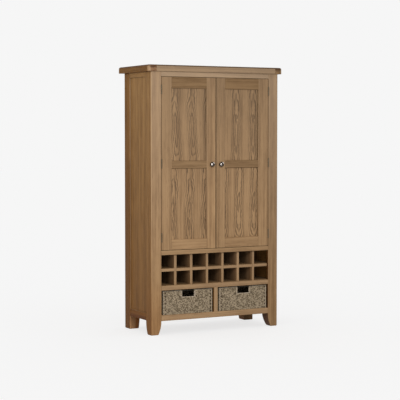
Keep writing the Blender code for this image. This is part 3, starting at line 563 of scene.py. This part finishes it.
def oakMaterial(name, along, tone, streaks, pores, light, edgePaleness, crown=None, topShade=0.0):
    material, tree, shader = newMaterial(name)
    share = oak["tones"][tone]
    turn = oak["turns"][along]
    pick = random.Random(name)
    cut = [pick.uniform(-oak["apart"], oak["apart"]) for _ in range(3)]
    coords = addNode(tree, "ShaderNodeTexCoord").outputs
    place = addNode(tree, "ShaderNodeMapping")
    feedNamed(place, {"Vector": coords["Object"], "Rotation": turn, "Location": cut})
    facing = addNode(tree, "ShaderNodeMapping", vector_type="VECTOR")
    feedNamed(facing, {"Vector": coords["Normal"], "Rotation": turn})
    wood = addGroup(
        tree, oakGrain, Vector=place.outputs[0], Normal=facing.outputs[0],
        Pale=toned(oak["pale"], share), Deep=toned(oak["deep"], share), Streaks=streaks, Pores=pores,
    )
    colour = wood["Colour"]
    arch = toned(oak["arch"], share)
    if crown:
        figure = addGroup(tree, crownFigure, Vector=coords["Object"], **crown)
        colour = mixColour(times(figure["Line"], oak["archShare"]), colour, arch)
    where = dict(Vector=coords["Object"], Normal=coords["Normal"])
    colour = addGroup(tree, lightFade, Colour=colour, **where, **light)["Colour"]
    # painted shade on the top's round edge, and darker end grain
    if topShade:
        finish = paintTopShade(coords, facing.outputs[0])
        colour = mixColour(times(finish, topShade), colour, arch)
    # paler edges: partly wear, partly a painted highlight
    paleEdge = addGroup(tree, edgeRub, **where)["Mask"]
    colour = mixColour(times(paleEdge, edgePaleness), colour, toned(oak["brightened"], share))
    rough, specular = wood["Roughness"], oak["specular"]
    feedNamed(shader, {"Base Color": colour, "Roughness": rough, "Specular IOR Level": specular})
    radius, samples = oak["eased"]
    eased = addNode(tree, "ShaderNodeBevel", samples=samples)
    eased.inputs["Radius"].default_value = radius
    bump = addBump(shader, wood["Height"], *oak["bump"])
    feed(bump.inputs["Normal"], eased.outputs[0])
    return material


# painted sheen and shade for the doors, and painted shade for the back legs
doorLight = dict(Fade=0.12, Bleach=0.03, Shade=0.20)
backLight = dict(Side=(0.64, 0.53, 0.33, 1), Groove=0.12, Corner=0.0)
boards = {
    "panelGrain": (1.3, 0.35),  # streaks and pores
    "boardGrain": (1.4, 0.45),
    "edgePaleness": {True: 0.05, False: 0.5},  # at the back, and elsewhere
    "topShade": 0.8,  # painted shade on the top's boards, with their darker end grain
    # words in boards' names, of which the first found counts: the axis they run along, and their tone
    "along": {
        "Z": ("post", "stile", "rack_divider", "basket_divider", "back_panel", "side_panel"),
        "Y": ("side_bottom_rail", "side_top_rail", "top_end"),
        "X": ("rail", "floor", "shelf", "top_board"),
    },
    "tones": {
        "dark": ("_door_top_rail", "_door_middle_rail", "top_board", "side_bottom_rail"),
        "dusky": ("top_end_right", "front_right_post"),
        "mellow": ("front_top_rail", "larder_floor", "left_door_hinge_stile", "right_door_meeting_stile"),
        "pale": ("front_bottom_rail", "left_door_meeting_stile"),
        "russet": ("top_end_left",),
        "plain": ("",),
    },
    # painted light and shade for each board: the first words found in its name count
    "light": (
        ("_door_top_rail", dict(Fade=0.0, Shade=0.14)),
        ("_door_middle_rail", dict(Fade=0.05, Shade=0.14)),
        ("_upper_panel", dict(doorLight, Dim=0.20)),
        ("_lower_panel", dict(doorLight, Dim=0.05)),
        ("_meeting_stile", dict(doorLight, Seam=0.55, Side=(0.50, 0.45, 0.40, 1))),
        ("_door_", dict(doorLight, Side=(0.60, 0.55, 0.50, 1))),
        ("top_end_left", dict(Fade=0.10, Corner=0.5, Side=(0.576, 0.568, 0.374, 1))),
        ("top_end_right", dict(Fade=0.06, Side=(0.63, 0.53, 0.33, 1))),
        ("top_board", dict(Fade=0.26)),
        ("top_rail", dict(Bleach=0.12)),
        ("side_bottom_rail", dict(
            Side=(1.08, 0.885, 0.50, 1), Damp=(0.71, 0.61, 0.47, 1), DampHigh=0.132, DampLow=0.112,
        )),
        ("bottom_rail", dict(Bleach=0.12)),
        ("back_left_post", dict(backLight, Outer=(1.5, 1.35, 1.35, 1), Inner=(0.97, 0.63, 0.40, 1))),
        ("back_", dict(backLight, Outer=(0.42, 0.37, 0.32, 1), Inner=(0.36, 0.31, 0.26, 1))),
        ("front_left_post", dict(Damp=(0.95, 0.86, 0.76, 1))),
        ("front_right_post", dict(Corner=0.0, Within=(0.46, 0.36, 0.27, 1))),
        ("basket_divider", dict(Bleach=0.12)),
        # painted light on the dividers' sides near the front, and painted shade further in
        ("rack_divider", dict(Bleach=0.09, Deep=0.72, Side=(1.35, 1.65, 2.8, 1))),
        ("rack_floor", dict(Bleach=0.12, Deep=0.65)),
        ("rack_", dict(Bleach=0.09, Deep=0.65)),
        ("", dict()),
    ),
    "crowns": {
        # middle of a leaf, its width, height of its foot, lean of the trunk, and which trunk
        "left_door_upper_panel": (-0.316, 0.133, 1.45, 0.10, 1.3),
        "right_door_upper_panel": (0.170, 0.143, 1.42, 0.09, 4.1),
        "left_door_lower_panel": (-0.340, 0.131, 0.84, 0.09, 7.7),
        "right_door_lower_panel": (0.202, 0.128, 0.98, 0.10, 9.2),
    },
}


def lookUp(name, table):
    return next(found for found, words in table.items() if any(word in name for word in words))


def dressBoards():
    for name, node in cadNodes.items():
        if node.data.materials[0].name.split(".")[0][:3] != "oak":
            continue
        tone = lookUp(name, boards["tones"])
        light = next(values for words, values in boards["light"] if words in name)
        edgePaleness = boards["edgePaleness"][name.startswith("back_")]
        if name in boards["crowns"]:
            crown = dict(zip(("Middle", "Leaf", "Foot", "Lean", "Seed"), boards["crowns"][name]))
            light = dict(light, RightEdge=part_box(name)[1][0])
            material = oakMaterial(name + "_oak", "Z", tone, *boards["panelGrain"], light, edgePaleness, crown)
        else:
            along = lookUp(name, boards["along"])
            topShade = boards["topShade"] if name.startswith("top_") else 0.0
            material = oakMaterial(
                name + "_oak", along, tone, *boards["boardGrain"], light, edgePaleness, topShade=topShade
            )
        node.material_slots[0].material = material


dressBoards()
print("boards dressed")


# modelling helpers

def deselect():
    bpy.ops.object.select_all(action="DESELECT")


def makeActive(piece):
    deselect()
    piece.select_set(True)
    bpy.context.view_layer.objects.active = piece


def editAll():
    bpy.ops.object.mode_set(mode="EDIT")
    bpy.ops.mesh.select_all(action="SELECT")


def leaveEdit():
    bpy.ops.object.mode_set(mode="OBJECT")


def pickVerts(test):
    piece = bpy.context.object
    bpy.ops.object.mode_set(mode="EDIT")
    bpy.ops.mesh.select_mode(type="VERT")
    bpy.ops.mesh.select_all(action="DESELECT")
    leaveEdit()
    for vert in piece.data.vertices:
        vert.select = bool(test(vert.co))
    bpy.ops.object.mode_set(mode="EDIT")


def extrude(*offset):
    bpy.ops.mesh.extrude_region_move(TRANSFORM_OT_translate={"value": offset})


# draws a ring out along X, and widens it at each step
def drawOut(steps):
    for step, grow in steps:
        extrude(step, 0, 0)
        bpy.ops.transform.resize(value=(1, grow, grow), center_override=(0, 0, 0))


def addModifier(piece, kind, **settings):
    modifier = piece.modifiers.new(kind.lower(), kind)
    for name, value in settings.items():
        setattr(modifier, name, value)


def addRow(piece, count, step, merge=0.0):
    addModifier(
        piece, "ARRAY", count=count, use_relative_offset=False, use_constant_offset=True,
        constant_offset_displace=step, use_merge_vertices=merge > 0, merge_threshold=merge,
    )


def applyModifiers(piece):
    makeActive(piece)
    for modifier in list(piece.modifiers):
        bpy.ops.object.modifier_apply(modifier=modifier.name)


def bendAlong(piece, path):
    addModifier(piece, "CURVE", object=path, deform_axis="POS_X")
    applyModifiers(piece)


def applyPlace(piece):
    makeActive(piece)
    bpy.ops.object.transform_apply(location=True, rotation=True, scale=True)


# a ring that faces along X, unless it is turned otherwise
def makeRing(sides, radius, place=origin, turn=(0, math.pi / 2, 0)):
    deselect()
    bpy.ops.mesh.primitive_circle_add(vertices=sides, radius=radius, rotation=turn, location=place)
    ring = bpy.context.object
    applyPlace(ring)
    return ring


# the four edges of a rectangle, left in edit mode
def makeOutline(width, height, place, turn=origin):
    deselect()
    bpy.ops.mesh.primitive_plane_add(size=1, location=place, rotation=turn)
    outline = bpy.context.object
    outline.scale = (width, height, 1)
    applyPlace(outline)
    editAll()
    bpy.ops.mesh.delete(type="ONLY_FACE")
    return outline


def joinPieces(pieces):
    deselect()
    for piece in pieces:
        piece.select_set(True)
    bpy.context.view_layer.objects.active = pieces[0]
    bpy.ops.object.join()
    return bpy.context.object


def closeUp(piece, near):
    makeActive(piece)
    editAll()
    bpy.ops.mesh.remove_doubles(threshold=near)
    bpy.ops.mesh.fill_holes(sides=0)
    bpy.ops.mesh.select_all(action="SELECT")
    bpy.ops.mesh.normals_make_consistent(inside=False)
    leaveEdit()


def closeSmooth(piece, near, angle):
    closeUp(piece, near)
    bpy.ops.object.shade_smooth_by_angle(angle=math.radians(angle))


def finishPiece(piece, name, body, slot, material, *nodes):
    applyPlace(piece)
    piece.name = name
    piece.data.name = name
    piece.data.materials.clear()
    piece.data.materials.append(material)
    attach(piece, body)
    if nodes:
        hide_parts(*nodes)


# seagrass

seagrass = {
    "straw": (0.40, 0.315, 0.212),
    "olive": (0.165, 0.126, 0.076),
    "umber": (0.050, 0.032, 0.020),
    "cord": (0.46, 0.38, 0.29),
    "lashing": (0.085, 0.062, 0.040),
    "flecks": {"weave": 0.85, "lashing": 0.6, "cord": 0.25},
    "tone": ((98, 98, 110), 1),
    "toneEdge": (0.41, 0.57),
    "fleck": ((105, 105, 110), 2),
    "fleckEdge": (0.56, 0.68),
    "blade": ((300, 300, 900), 2),
    "bladeEdge": (0.5, 0.7),
    "bladeShare": 0.25,
    "lay": (0.8, 2400),  # lean of the twisted blades, and how close they lie
    "backShade": (-0.214, -0.190, 1.0, 0.6),  # painted shade, darker behind the front
    "rimShadow": (0.008, 0.003),  # depths under the top, where a painted shadow of the rail darkens the rim
    "rimShadowTo": 0.5,
    "holeShade": (0.046, 0.052),  # half the length of rim above the hole that painted shade darkens
    "holeShadeDepths": (0.007, 0.009),
    "holeShadeTo": 0.12,
    "rough": 0.8,
    "specular": 0.15,
    "bladeRise": 0.8,
    "bump": (0.5, 0.0005),
}


def makeSeagrass(name, pale, deep, flecks, holeShadeAt=None):
    material, tree, shader = newMaterial(name)
    vector = addNode(tree, "ShaderNodeTexCoord").outputs["Object"]
    x, y, z = split(vector)
    umber = seagrass["umber"] + (1,)
    tone = ranged(noise(vector, *seagrass["tone"]), *seagrass["toneEdge"])
    colour = mixColour(tone, deep + (1,), pale + (1,))
    fleck = ranged(noise(vector, *seagrass["fleck"]), *seagrass["fleckEdge"])
    colour = mixColour(times(fleck, flecks), colour, umber)
    blade = noise(vector, *seagrass["blade"])
    between = times(ranged(blade, *seagrass["bladeEdge"]), seagrass["bladeShare"])
    colour = mixColour(between, colour, umber)
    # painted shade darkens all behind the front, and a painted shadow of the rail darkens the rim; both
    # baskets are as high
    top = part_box("left_basket")[1][2]
    shade = ranged(y, *seagrass["backShade"])
    rimShadow = [top - depth for depth in seagrass["rimShadow"]]
    shade = times(shade, ranged(z, *rimShadow, 1.0, seagrass["rimShadowTo"]))
    if holeShadeAt is not None:
        # painted shade darkens the rim above the hole
        beside = calc("ABSOLUTE", calc("SUBTRACT", x, holeShadeAt))
        levels = [top - depth for depth in seagrass["holeShadeDepths"]]
        unshaded = ranged(beside, *seagrass["holeShade"])
        unshaded = calc("MAXIMUM", unshaded, ranged(z, *levels))
        shade = times(shade, ranged(unshaded, 0.0, 1.0, seagrass["holeShadeTo"], 1.0))
    colour = scaled(colour, shade)
    rough, specular = seagrass["rough"], seagrass["specular"]
    feedNamed(shader, {"Base Color": colour, "Roughness": rough, "Specular IOR Level": specular})
    lean, close = seagrass["lay"]
    lay = calc("MULTIPLY_ADD", z, lean, calc("ADD", x, y))
    lay = calc("SINE", times(lay, close))
    height = calc("MULTIPLY_ADD", blade, seagrass["bladeRise"], lay)
    addBump(shader, height, *seagrass["bump"])
    return material


# woven baskets

basket = {
    "proud": 0.0015,  # rim outside the woven wall
    "wall": 0.007,
    "corner": 0.015,  # outer corner of the wall
    "cornerSteps": 6,
    "rows": 19,
    "periods": 60,  # overs and unders in one round
    "strand": (0.0032, 0.0084, 8, 6),  # thickness, height, sides, steps in a period
    "swing": 0.0019,
    "stake": (5, 0.0009),  # sides and radius
    "baseRows": 42,
    "basePeriods": 16,
    "baseStrand": (0.0032, 0.0084, 6, 6),
    "rimHeight": 0.006,
    "rimPlay": 0.0002,
    "wrapLength": 0.0075,
    "wrapSides": 10,
    "wrapWaist": 0.44,  # radius between two wraps, against wrapBelly in the middle of one
    "wrapBelly": 0.5,
    "wrapLean": 0.3,
    "wrapTop": 0.001,  # above this a wrap leans
    "cordRadius": 0.0022,  # each of the two strands of a corner cord
    "cordSides": 6,
    "cordSteps": 40,
    "cordTurn": 36,  # degrees at each step
    "cordApart": 0.62,  # of the strands, in radii, as the next three are
    "cordIn": 0.8,  # from the wall's round corner
    "cordBehind": 1.7,  # the rim, beside the hole
    "cordBeside": 1.4,  # the binding
    "cordLift": 0.0005,
    "holeWidth": 0.095,
    "holeHeight": 0.042,
    "holeReach": 0.06,  # each way from its middle, what the cuts go through
    "holeDepth": 0.003,  # behind the wall
    "holePlay": 0.0001,
    "bindingRadius": 0.0034,
    "bindingCorner": (0.006, 5),
    "bindingSteps": 2,
    "tuck": 0.002,  # cords and stakes reach into the rim
    "stakeLift": 0.001,
    "cutTuck": 0.003,  # what ends at the hole reaches past its edge
    "lashCount": 7,
    "lashSize": (0.0095, 0.0036, 0.0085),
    "lashSides": 8,
    "lashEnd": 0.3,  # radius of its ends
    "lashSteps": ((0.2, 5 / 3), (0.6, 1.0), (0.2, 0.6)),
    "lashInset": 0.019,  # from the basket's corner
    "lashProud": 0.0006,  # outside the wall
    "knotReach": 1.2,  # up and down, in heights of a lashing
    "knotBeside": 0.9,  # in widths of a lashing
    "smooth": 50,
    "merge": 0.0002,
    "near": {"wall": 0.00005, "weave": 0.000001, "cords": 0.00002, "lashings": 0.00002},
}


# a closed path round a basket, half a wall inside its outer face
def makeRound(low, high, inset, corner):
    middle = ((low[0] + high[0]) / 2, (low[1] + high[1]) / 2, 0)
    path = makeOutline(high[0] - low[0] - 2 * inset, high[1] - low[1] - 2 * inset, middle)
    bpy.ops.mesh.select_all(action="SELECT")
    bpy.ops.mesh.bevel(offset=corner, segments=basket["cornerSteps"], affect="VERTICES")
    leaveEdit()
    points = path.data.vertices
    ends = [edge.vertices for edge in path.data.edges]
    length = sum((points[first].co - points[last].co).length for first, last in ends)
    bpy.ops.object.convert(target="CURVE")
    path = bpy.context.object
    path.data.dimensions = "2D"
    path.data.fill_mode = "NONE"
    return path, length


# one over and one under of a strand that runs along X
def makeStrand(period, swing, thick, tall, sides, steps):
    strand = makeRing(sides, 0.5)
    strand.scale = (1, thick, tall)
    strand.location = (0, swing, 0)
    applyPlace(strand)
    editAll()
    turn = 2 * math.pi / steps
    for step in range(steps):
        shift = swing * (math.cos(turn * (step + 1)) - math.cos(turn * step))
        extrude(period / steps, shift, 0)
    leaveEdit()
    return strand


# every second row swings the other way
def weaveRows(kind, period, periods, rows, start, step, turn=origin, path=None):
    sets = []
    for first, swing in ((0, basket["swing"]), (1, -basket["swing"])):
        strand = makeStrand(period, swing, *basket[kind])
        strand.rotation_euler = turn
        strand.location = [place + part * (first + 0.5) for place, part in zip(start, step)]
        applyPlace(strand)
        addRow(strand, periods, (period, 0, 0), basket["merge"])
        addRow(strand, (rows + 1 - first) // 2, [2 * part for part in step])
        if path:
            bendAlong(strand, path)
        else:
            applyModifiers(strand)
        sets.append(strand)
    return joinPieces(sets)


def weaveWall(path, length, low, high):
    periods, rows = basket["periods"], basket["rows"]
    step = (0, 0, (high - low) / rows)
    return weaveRows("strand", length / periods, periods, rows, (0, 0, low), step, path=path)


def weaveStakes(path, length, low, high):
    deselect()
    sides, radius = basket["stake"]
    middle = (0, 0, (low + high) / 2)
    bpy.ops.mesh.primitive_cylinder_add(vertices=sides, radius=radius, depth=high - low, location=middle)
    stake = bpy.context.object
    applyPlace(stake)
    addRow(stake, basket["periods"] * 2, (length / basket["periods"] / 2, 0, 0))
    bendAlong(stake, path)
    return stake


def weaveRim(path, length, level):
    count = round(length / basket["wrapLength"])
    wrap = length / count
    waist, belly = basket["wrapWaist"], basket["wrapBelly"]
    rim = makeRing(basket["wrapSides"], waist)
    wide = basket["wall"] + 2 * basket["proud"] - basket["rimPlay"]
    rim.scale = (1, wide, basket["rimHeight"] - basket["rimPlay"])
    applyPlace(rim)
    editAll()
    drawOut(((wrap / 2, belly / waist), (wrap / 2, waist / belly)))
    pickVerts(lambda point: point.z > basket["wrapTop"])
    bpy.ops.transform.translate(value=(wrap * basket["wrapLean"], 0, 0))
    leaveEdit()
    rim.location.z = level
    applyPlace(rim)
    addRow(rim, count, (wrap, 0, 0), basket["merge"])
    bendAlong(rim, path)
    return rim


def weaveBase(low, high, level):
    inner = basket["proud"] + basket["wall"]
    periods, rows = basket["basePeriods"], basket["baseRows"]
    period = (high[0] - low[0] - 2 * inner) / periods
    step = (0, (high[1] - low[1] - 2 * inner) / rows, 0)
    start = (low[0] + inner, low[1] + inner, level)
    return weaveRows("baseStrand", period, periods, rows, start, step, (math.pi / 2, 0, 0))


# a two-strand cord standing on end
def makeCord(place, low, high):
    radius = basket["cordRadius"]
    turn = math.radians(basket["cordTurn"])
    strands = []
    for side in (-1, 1):
        start = (side * radius * basket["cordApart"], 0, low)
        strand = makeRing(basket["cordSides"], radius, start, origin)
        editAll()
        for _ in range(basket["cordSteps"]):
            extrude(0, 0, (high - low) / basket["cordSteps"])
            bpy.ops.transform.rotate(value=turn, orient_axis="Z", center_override=(0, 0, 0))
        leaveEdit()
        strand.location = (place[0], place[1], 0)
        applyPlace(strand)
        strands.append(strand)
    return joinPieces(strands)


# the cord bound round the sides and foot of a hand hole
def makeHoleBinding(left, right, low, high, depth):
    middle = ((left + right) / 2, depth, (low + high) / 2)
    makeOutline(right - left, high - low, middle, (math.pi / 2, 0, 0))
    pickVerts(lambda point: point.z < middle[2])
    corner, steps = basket["bindingCorner"]
    bpy.ops.mesh.bevel(offset=corner, segments=steps, affect="VERTICES")
    # the top edge goes, and the path stays open there
    pickVerts(lambda point: point.z > high - basket["holePlay"])
    bpy.ops.mesh.delete(type="EDGE_FACE")
    leaveEdit()
    bpy.ops.object.convert(target="CURVE")
    binding = bpy.context.object
    binding.data.dimensions = "3D"
    binding.data.bevel_depth = basket["bindingRadius"]
    binding.data.bevel_resolution = basket["bindingSteps"]
    binding.data.use_fill_caps = True
    bpy.ops.object.convert(target="MESH")
    return bpy.context.object


# a dark lashing that holds a cord, several turns pulled flat, repeated up the cord
def lashCord(x, front, low, high, count):
    wide, thick, tall = basket["lashSize"]
    lash = makeRing(basket["lashSides"], basket["lashEnd"])
    editAll()
    drawOut(basket["lashSteps"])
    leaveEdit()
    lash.scale = (wide, thick, tall)
    lash.location = (x - wide / 2, front + thick / 2, low + tall)
    applyPlace(lash)
    addRow(lash, count, (0, 0, (high - low - 2 * tall) / (count - 1)))
    applyModifiers(lash)
    return lash


def makeBasket(word, weaveGrass, lashGrass):
    node = word + "_basket"
    low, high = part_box(node)
    foot = low[2]
    rimLow = high[2] - basket["rimHeight"]
    half = basket["wall"] / 2
    inset = basket["proud"] + half
    wallFront = low[1] + basket["proud"]
    wallBack = wallFront + basket["wall"] + basket["holeDepth"]
    middle = (low[0] + high[0]) / 2
    left, right = middle - basket["holeWidth"] / 2, middle + basket["holeWidth"] / 2
    holeLow = rimLow - basket["holeHeight"]
    bound = basket["bindingRadius"]
    path, length = makeRound(low, high, inset, basket["corner"] - half)
    cordGrass = makeSeagrass(
        word + "SeagrassCord", seagrass["cord"], seagrass["straw"], seagrass["flecks"]["cord"], middle
    )

    def byHole(point, start, end):
        return point.y < wallBack and point.z > holeLow and start < point.x < end

    def finish(pieces, part, grass, *nodes):
        piece = joinPieces(pieces)
        closeSmooth(piece, basket["near"][part], basket["smooth"])
        finishPiece(piece, node + "_" + part, node, "seagrass", grass, *nodes)

    wall = weaveWall(path, length, foot, rimLow)
    closeUp(wall, basket["near"]["wall"])
    for edge in (left, right):
        pickVerts(lambda point: byHole(point, middle - basket["holeReach"], middle + basket["holeReach"]))
        bpy.ops.mesh.bisect(plane_co=(edge, 0, 0), plane_no=(1, 0, 0))
        leaveEdit()
    pickVerts(lambda point: byHole(point, left + basket["holePlay"], right - basket["holePlay"]))
    bpy.ops.mesh.delete(type="VERT")
    leaveEdit()
    closeUp(wall, basket["near"]["wall"])
    stakes = weaveStakes(path, length, foot + basket["stakeLift"], rimLow + basket["tuck"])
    pickVerts(lambda point: byHole(point, left, right))
    bpy.ops.transform.translate(value=(0, 0, -basket["holeHeight"] - basket["cutTuck"]))
    leaveEdit()
    finish([wall, stakes, weaveBase(low, high, foot + half)], "weave", weaveGrass, node)

    cords = [weaveRim(path, length, rimLow + basket["rimHeight"] / 2)]
    # cords stand on the round corners, a little inside the rim's outer edge
    reach = basket["corner"] + basket["proud"]
    out = (basket["corner"] - basket["cordRadius"] * basket["cordIn"]) * math.sqrt(0.5)
    for x in (low[0] + reach - out, high[0] - reach + out):
        for y in (low[1] + reach - out, high[1] - reach + out):
            cords.append(makeCord((x, y), foot + basket["cordLift"], rimLow + basket["tuck"]))
    bindingTop = rimLow + basket["cutTuck"]
    cords.append(makeHoleBinding(left - bound, right + bound, holeLow - bound, bindingTop, low[1] + inset))
    # a second cord stands beside each end of the hole
    beside = 2 * bound + basket["cordRadius"] * basket["cordBeside"]
    behind = low[1] + basket["cordRadius"] * basket["cordBehind"]
    for x in (left - beside, right + beside):
        cords.append(makeCord((x, behind), holeLow - bound, rimLow + basket["tuck"]))
    finish(cords, "cords", cordGrass)

    lashes = []
    lashFront = wallFront - basket["lashProud"]
    for x in (low[0] + basket["lashInset"], high[0] - basket["lashInset"]):
        lashes.append(lashCord(x, lashFront, foot, rimLow, basket["lashCount"]))
    # and a knot of two turns at the foot of each cord beside the hole
    wide, _, tall = basket["lashSize"]
    knot = tall * basket["knotReach"]
    apart = beside + wide * basket["knotBeside"]
    for x in (left - apart, right + apart):
        lashes.append(lashCord(x, lashFront, holeLow - knot, holeLow + knot, 2))
    finish(lashes, "lashings", lashGrass)
    bpy.data.objects.remove(path, do_unlink=True)


weaveSeagrass = makeSeagrass(
    "seagrassWeave", seagrass["straw"], seagrass["olive"], seagrass["flecks"]["weave"]
)
lashSeagrass = makeSeagrass(
    "seagrassLashing", seagrass["lashing"], seagrass["umber"], seagrass["flecks"]["lashing"]
)
for basketWord in ("left", "right"):
    makeBasket(basketWord, weaveSeagrass, lashSeagrass)
print("baskets woven")


# pieces that follow the CAD: which body carries a node, and which slot it takes its finish from

bodyOf = {name: body for body, names in frame["record"]["behaviour"]["bodies"].items() for name in names}
slotOf = {part["node"]: part["material_slot"] for part in frame["record"]["subparts"]}

smoothing = {
    "near": 0.00002,
    "flat": 0.5,  # degrees between faces that become one
    "round": 35,  # degrees between faces that shade as one
}


# a CAD mesh copied, its loose triangles merged and its rounding shaded smooth
def smoothCopy(name, material):
    node = cadNodes[name]
    piece = bpy.data.objects.new(name + "_smooth", node.data.copy())
    bpy.context.scene.collection.objects.link(piece)
    piece.matrix_world = node.matrix_world
    makeActive(piece)
    editAll()
    bpy.ops.mesh.remove_doubles(threshold=smoothing["near"])
    bpy.ops.mesh.dissolve_limited(angle_limit=math.radians(smoothing["flat"]))
    bpy.ops.mesh.normals_make_consistent(inside=False)
    leaveEdit()
    bpy.ops.object.shade_smooth_by_angle(angle=math.radians(smoothing["round"]))
    # flat faces stay flat beside their rounding
    addModifier(piece, "WEIGHTED_NORMAL", keep_sharp=True)
    applyModifiers(piece)
    finishPiece(piece, name + "_smooth", bodyOf[name], slotOf[name], material, name)


roundedBoards = [name for name in cadNodes if name.endswith("_post") or name.startswith("top_")]
for boardName in roundedBoards:
    smoothCopy(boardName, cadNodes[boardName].material_slots[0].material)
print("rounded boards smoothed")


# metal parts

metal = {
    "nickel": (0.050, 0.038, 0.030),
    "nickelRough": 0.20,
    "nickelWear": 0.25,
    "highlightNickel": (0.55, 0.51, 0.47),
    "spots": (
        # a painted highlight's facing, its rim and full, and its brightness
        ((-0.38, -0.92, -0.06), 0.95, 0.995, 0.60),
        ((0.40, -0.78, 0.48), 0.91, 0.975, 1.8),
    ),
    "brass": (0.080, 0.061, 0.040),
    "brassRough": 0.42,
    "brassWear": 0.6,
    "worn": ((260, 260, 260), 3, 0.6),
    "wornEdge": (0.48, 0.7),
    "bright": (2.2, 2.2, 2.2),  # worn metal against the rest
    "roughSpread": 0.2,
}


def makeMetal(word, spots=()):
    colour = metal[word]
    material, tree, shader = newMaterial({"nickel": "darkNickel", "brass": "agedBrass"}[word])
    coords = addNode(tree, "ShaderNodeTexCoord")
    worn = noise(coords.outputs["Object"], *metal["worn"])
    bright = times(ranged(worn, *metal["wornEdge"]), metal[word + "Wear"])
    finish = mixColour(bright, colour + (1,), toned(colour, metal["bright"]))
    # painted highlights on the knob's head
    for facing, edge, full, share in spots:
        spot = calcVector("DOT_PRODUCT", coords.outputs["Normal"], facing)
        brightened = toned(metal["highlightNickel"], (share, share, share))
        finish = mixColour(ranged(spot, edge, full), finish, brightened)
    spread = metal["roughSpread"]
    rough = calc("MULTIPLY_ADD", worn, spread, metal[word + "Rough"] - spread / 2)
    feedNamed(shader, {"Base Color": finish, "Roughness": rough, "Metallic": 1.0})
    return material


knob = {
    "sides": 40,
    "collar": (
        # distance from the door, and radius
        (0.0, 0.011), (0.0032, 0.011), (0.0038, 0.0107), (0.004, 0.0101),
        (0.0042, 0.0075), (0.0055, 0.0066), (0.0095, 0.0065),
    ),
    "head": (0.021, 0.009, 0.0175, -66, 86),  # middle, half height, radius, first and last angle
    "headSteps": 18,
    "near": 0.00001,
    "smooth": 40,
}


def makeKnob(word, nickel):
    node = word + "_door_knob"
    low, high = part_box(node)
    middle, half, reach, first, last = knob["head"]
    profile = list(knob["collar"])
    for step in range(knob["headSteps"] + 1):
        angle = math.radians(first + (last - first) * step / knob["headSteps"])
        profile.append((middle + half * math.sin(angle), reach * math.cos(angle)))
    centre = ((low[0] + high[0]) / 2, low[1] + middle + half, (low[2] + high[2]) / 2)
    piece = makeRing(knob["sides"], profile[0][1], centre, (math.pi / 2, 0, 0))
    editAll()
    for (out, radius), (nextOut, nextRadius) in zip(profile, profile[1:]):
        extrude(0, out - nextOut, 0)
        grow = nextRadius / radius
        bpy.ops.transform.resize(value=(grow, 1, grow), center_override=centre)
    bpy.ops.mesh.edge_face_add()
    bpy.ops.mesh.poke()
    leaveEdit()
    closeSmooth(piece, knob["near"], knob["smooth"])
    finishPiece(piece, node + "_turned", word + "_door", "dark_nickel", nickel, node)


screw = {
    "sides": 16,
    "radius": 0.0024,
    "upperEnds": 0.0006,
    "rise": 0.0004,
    "dome": ((0.6, 0.88), (0.4, 0.6)),  # shares of the rise, and growth
    "slot": (0.0009, 0.0072, 0.0006),
    "slotTurn": 35,
    "near": 0.00001,
    "levels": (0.687, 1.2075, 1.728),  # of the hinges
    "places": ((-0.2215, -0.024), (-0.2165, 0.0), (-0.2215, 0.024)),  # depth, and height from a level
    "postFace": 0.437,
    "doorFace": 0.434,
}


# a countersunk screw head with a slot, facing +X
def makeScrew():
    rise = screw["rise"]
    head = makeRing(screw["sides"], screw["radius"], (-screw["upperEnds"], 0, 0))
    editAll()
    drawOut([(screw["upperEnds"], 1.0)] + [(rise * share, grow) for share, grow in screw["dome"]])
    bpy.ops.mesh.edge_face_add()
    leaveEdit()
    closeUp(head, screw["near"])
    deselect()
    turn = (math.radians(screw["slotTurn"]), 0, 0)
    bpy.ops.mesh.primitive_cube_add(size=1, location=(rise, 0, 0), rotation=turn)
    slot = bpy.context.object
    slot.scale = screw["slot"]
    applyPlace(slot)
    addModifier(head, "BOOLEAN", object=slot, operation="DIFFERENCE")
    applyModifiers(head)
    bpy.data.objects.remove(slot, do_unlink=True)
    return head


def driveScrews(master, name, body, brass, faces):
    heads = []
    for x, turn in faces:
        for level in screw["levels"]:
            for depth, rise in screw["places"]:
                makeActive(master)
                bpy.ops.object.duplicate(linked=False)
                head = bpy.context.object
                head.location = (x, depth, level + rise)
                head.rotation_euler = (0, 0, turn)
                applyPlace(head)
                heads.append(head)
    finishPiece(joinPieces(heads), name, body, "aged_brass", brass)


darkNickel = makeMetal("nickel", metal["spots"])
agedBrass = makeMetal("brass")
for doorWord in ("left", "right"):
    makeKnob(doorWord, darkNickel)
hingeLeaves = [name for name in cadNodes if name.endswith("_leaf")]
for leafName in hingeLeaves:
    smoothCopy(leafName, agedBrass)
screwMaster = makeScrew()
postFace, doorFace = screw["postFace"], screw["doorFace"]
driveScrews(screwMaster, "post_leaf_screws", "carcass", agedBrass, ((-postFace, 0), (postFace, math.pi)))
driveScrews(screwMaster, "left_door_leaf_screws", "left_door", agedBrass, ((-doorFace, math.pi),))
driveScrews(screwMaster, "right_door_leaf_screws", "right_door", agedBrass, ((doorFace, 0),))
bpy.data.objects.remove(screwMaster, do_unlink=True)
print("knobs, hinges and screws made")
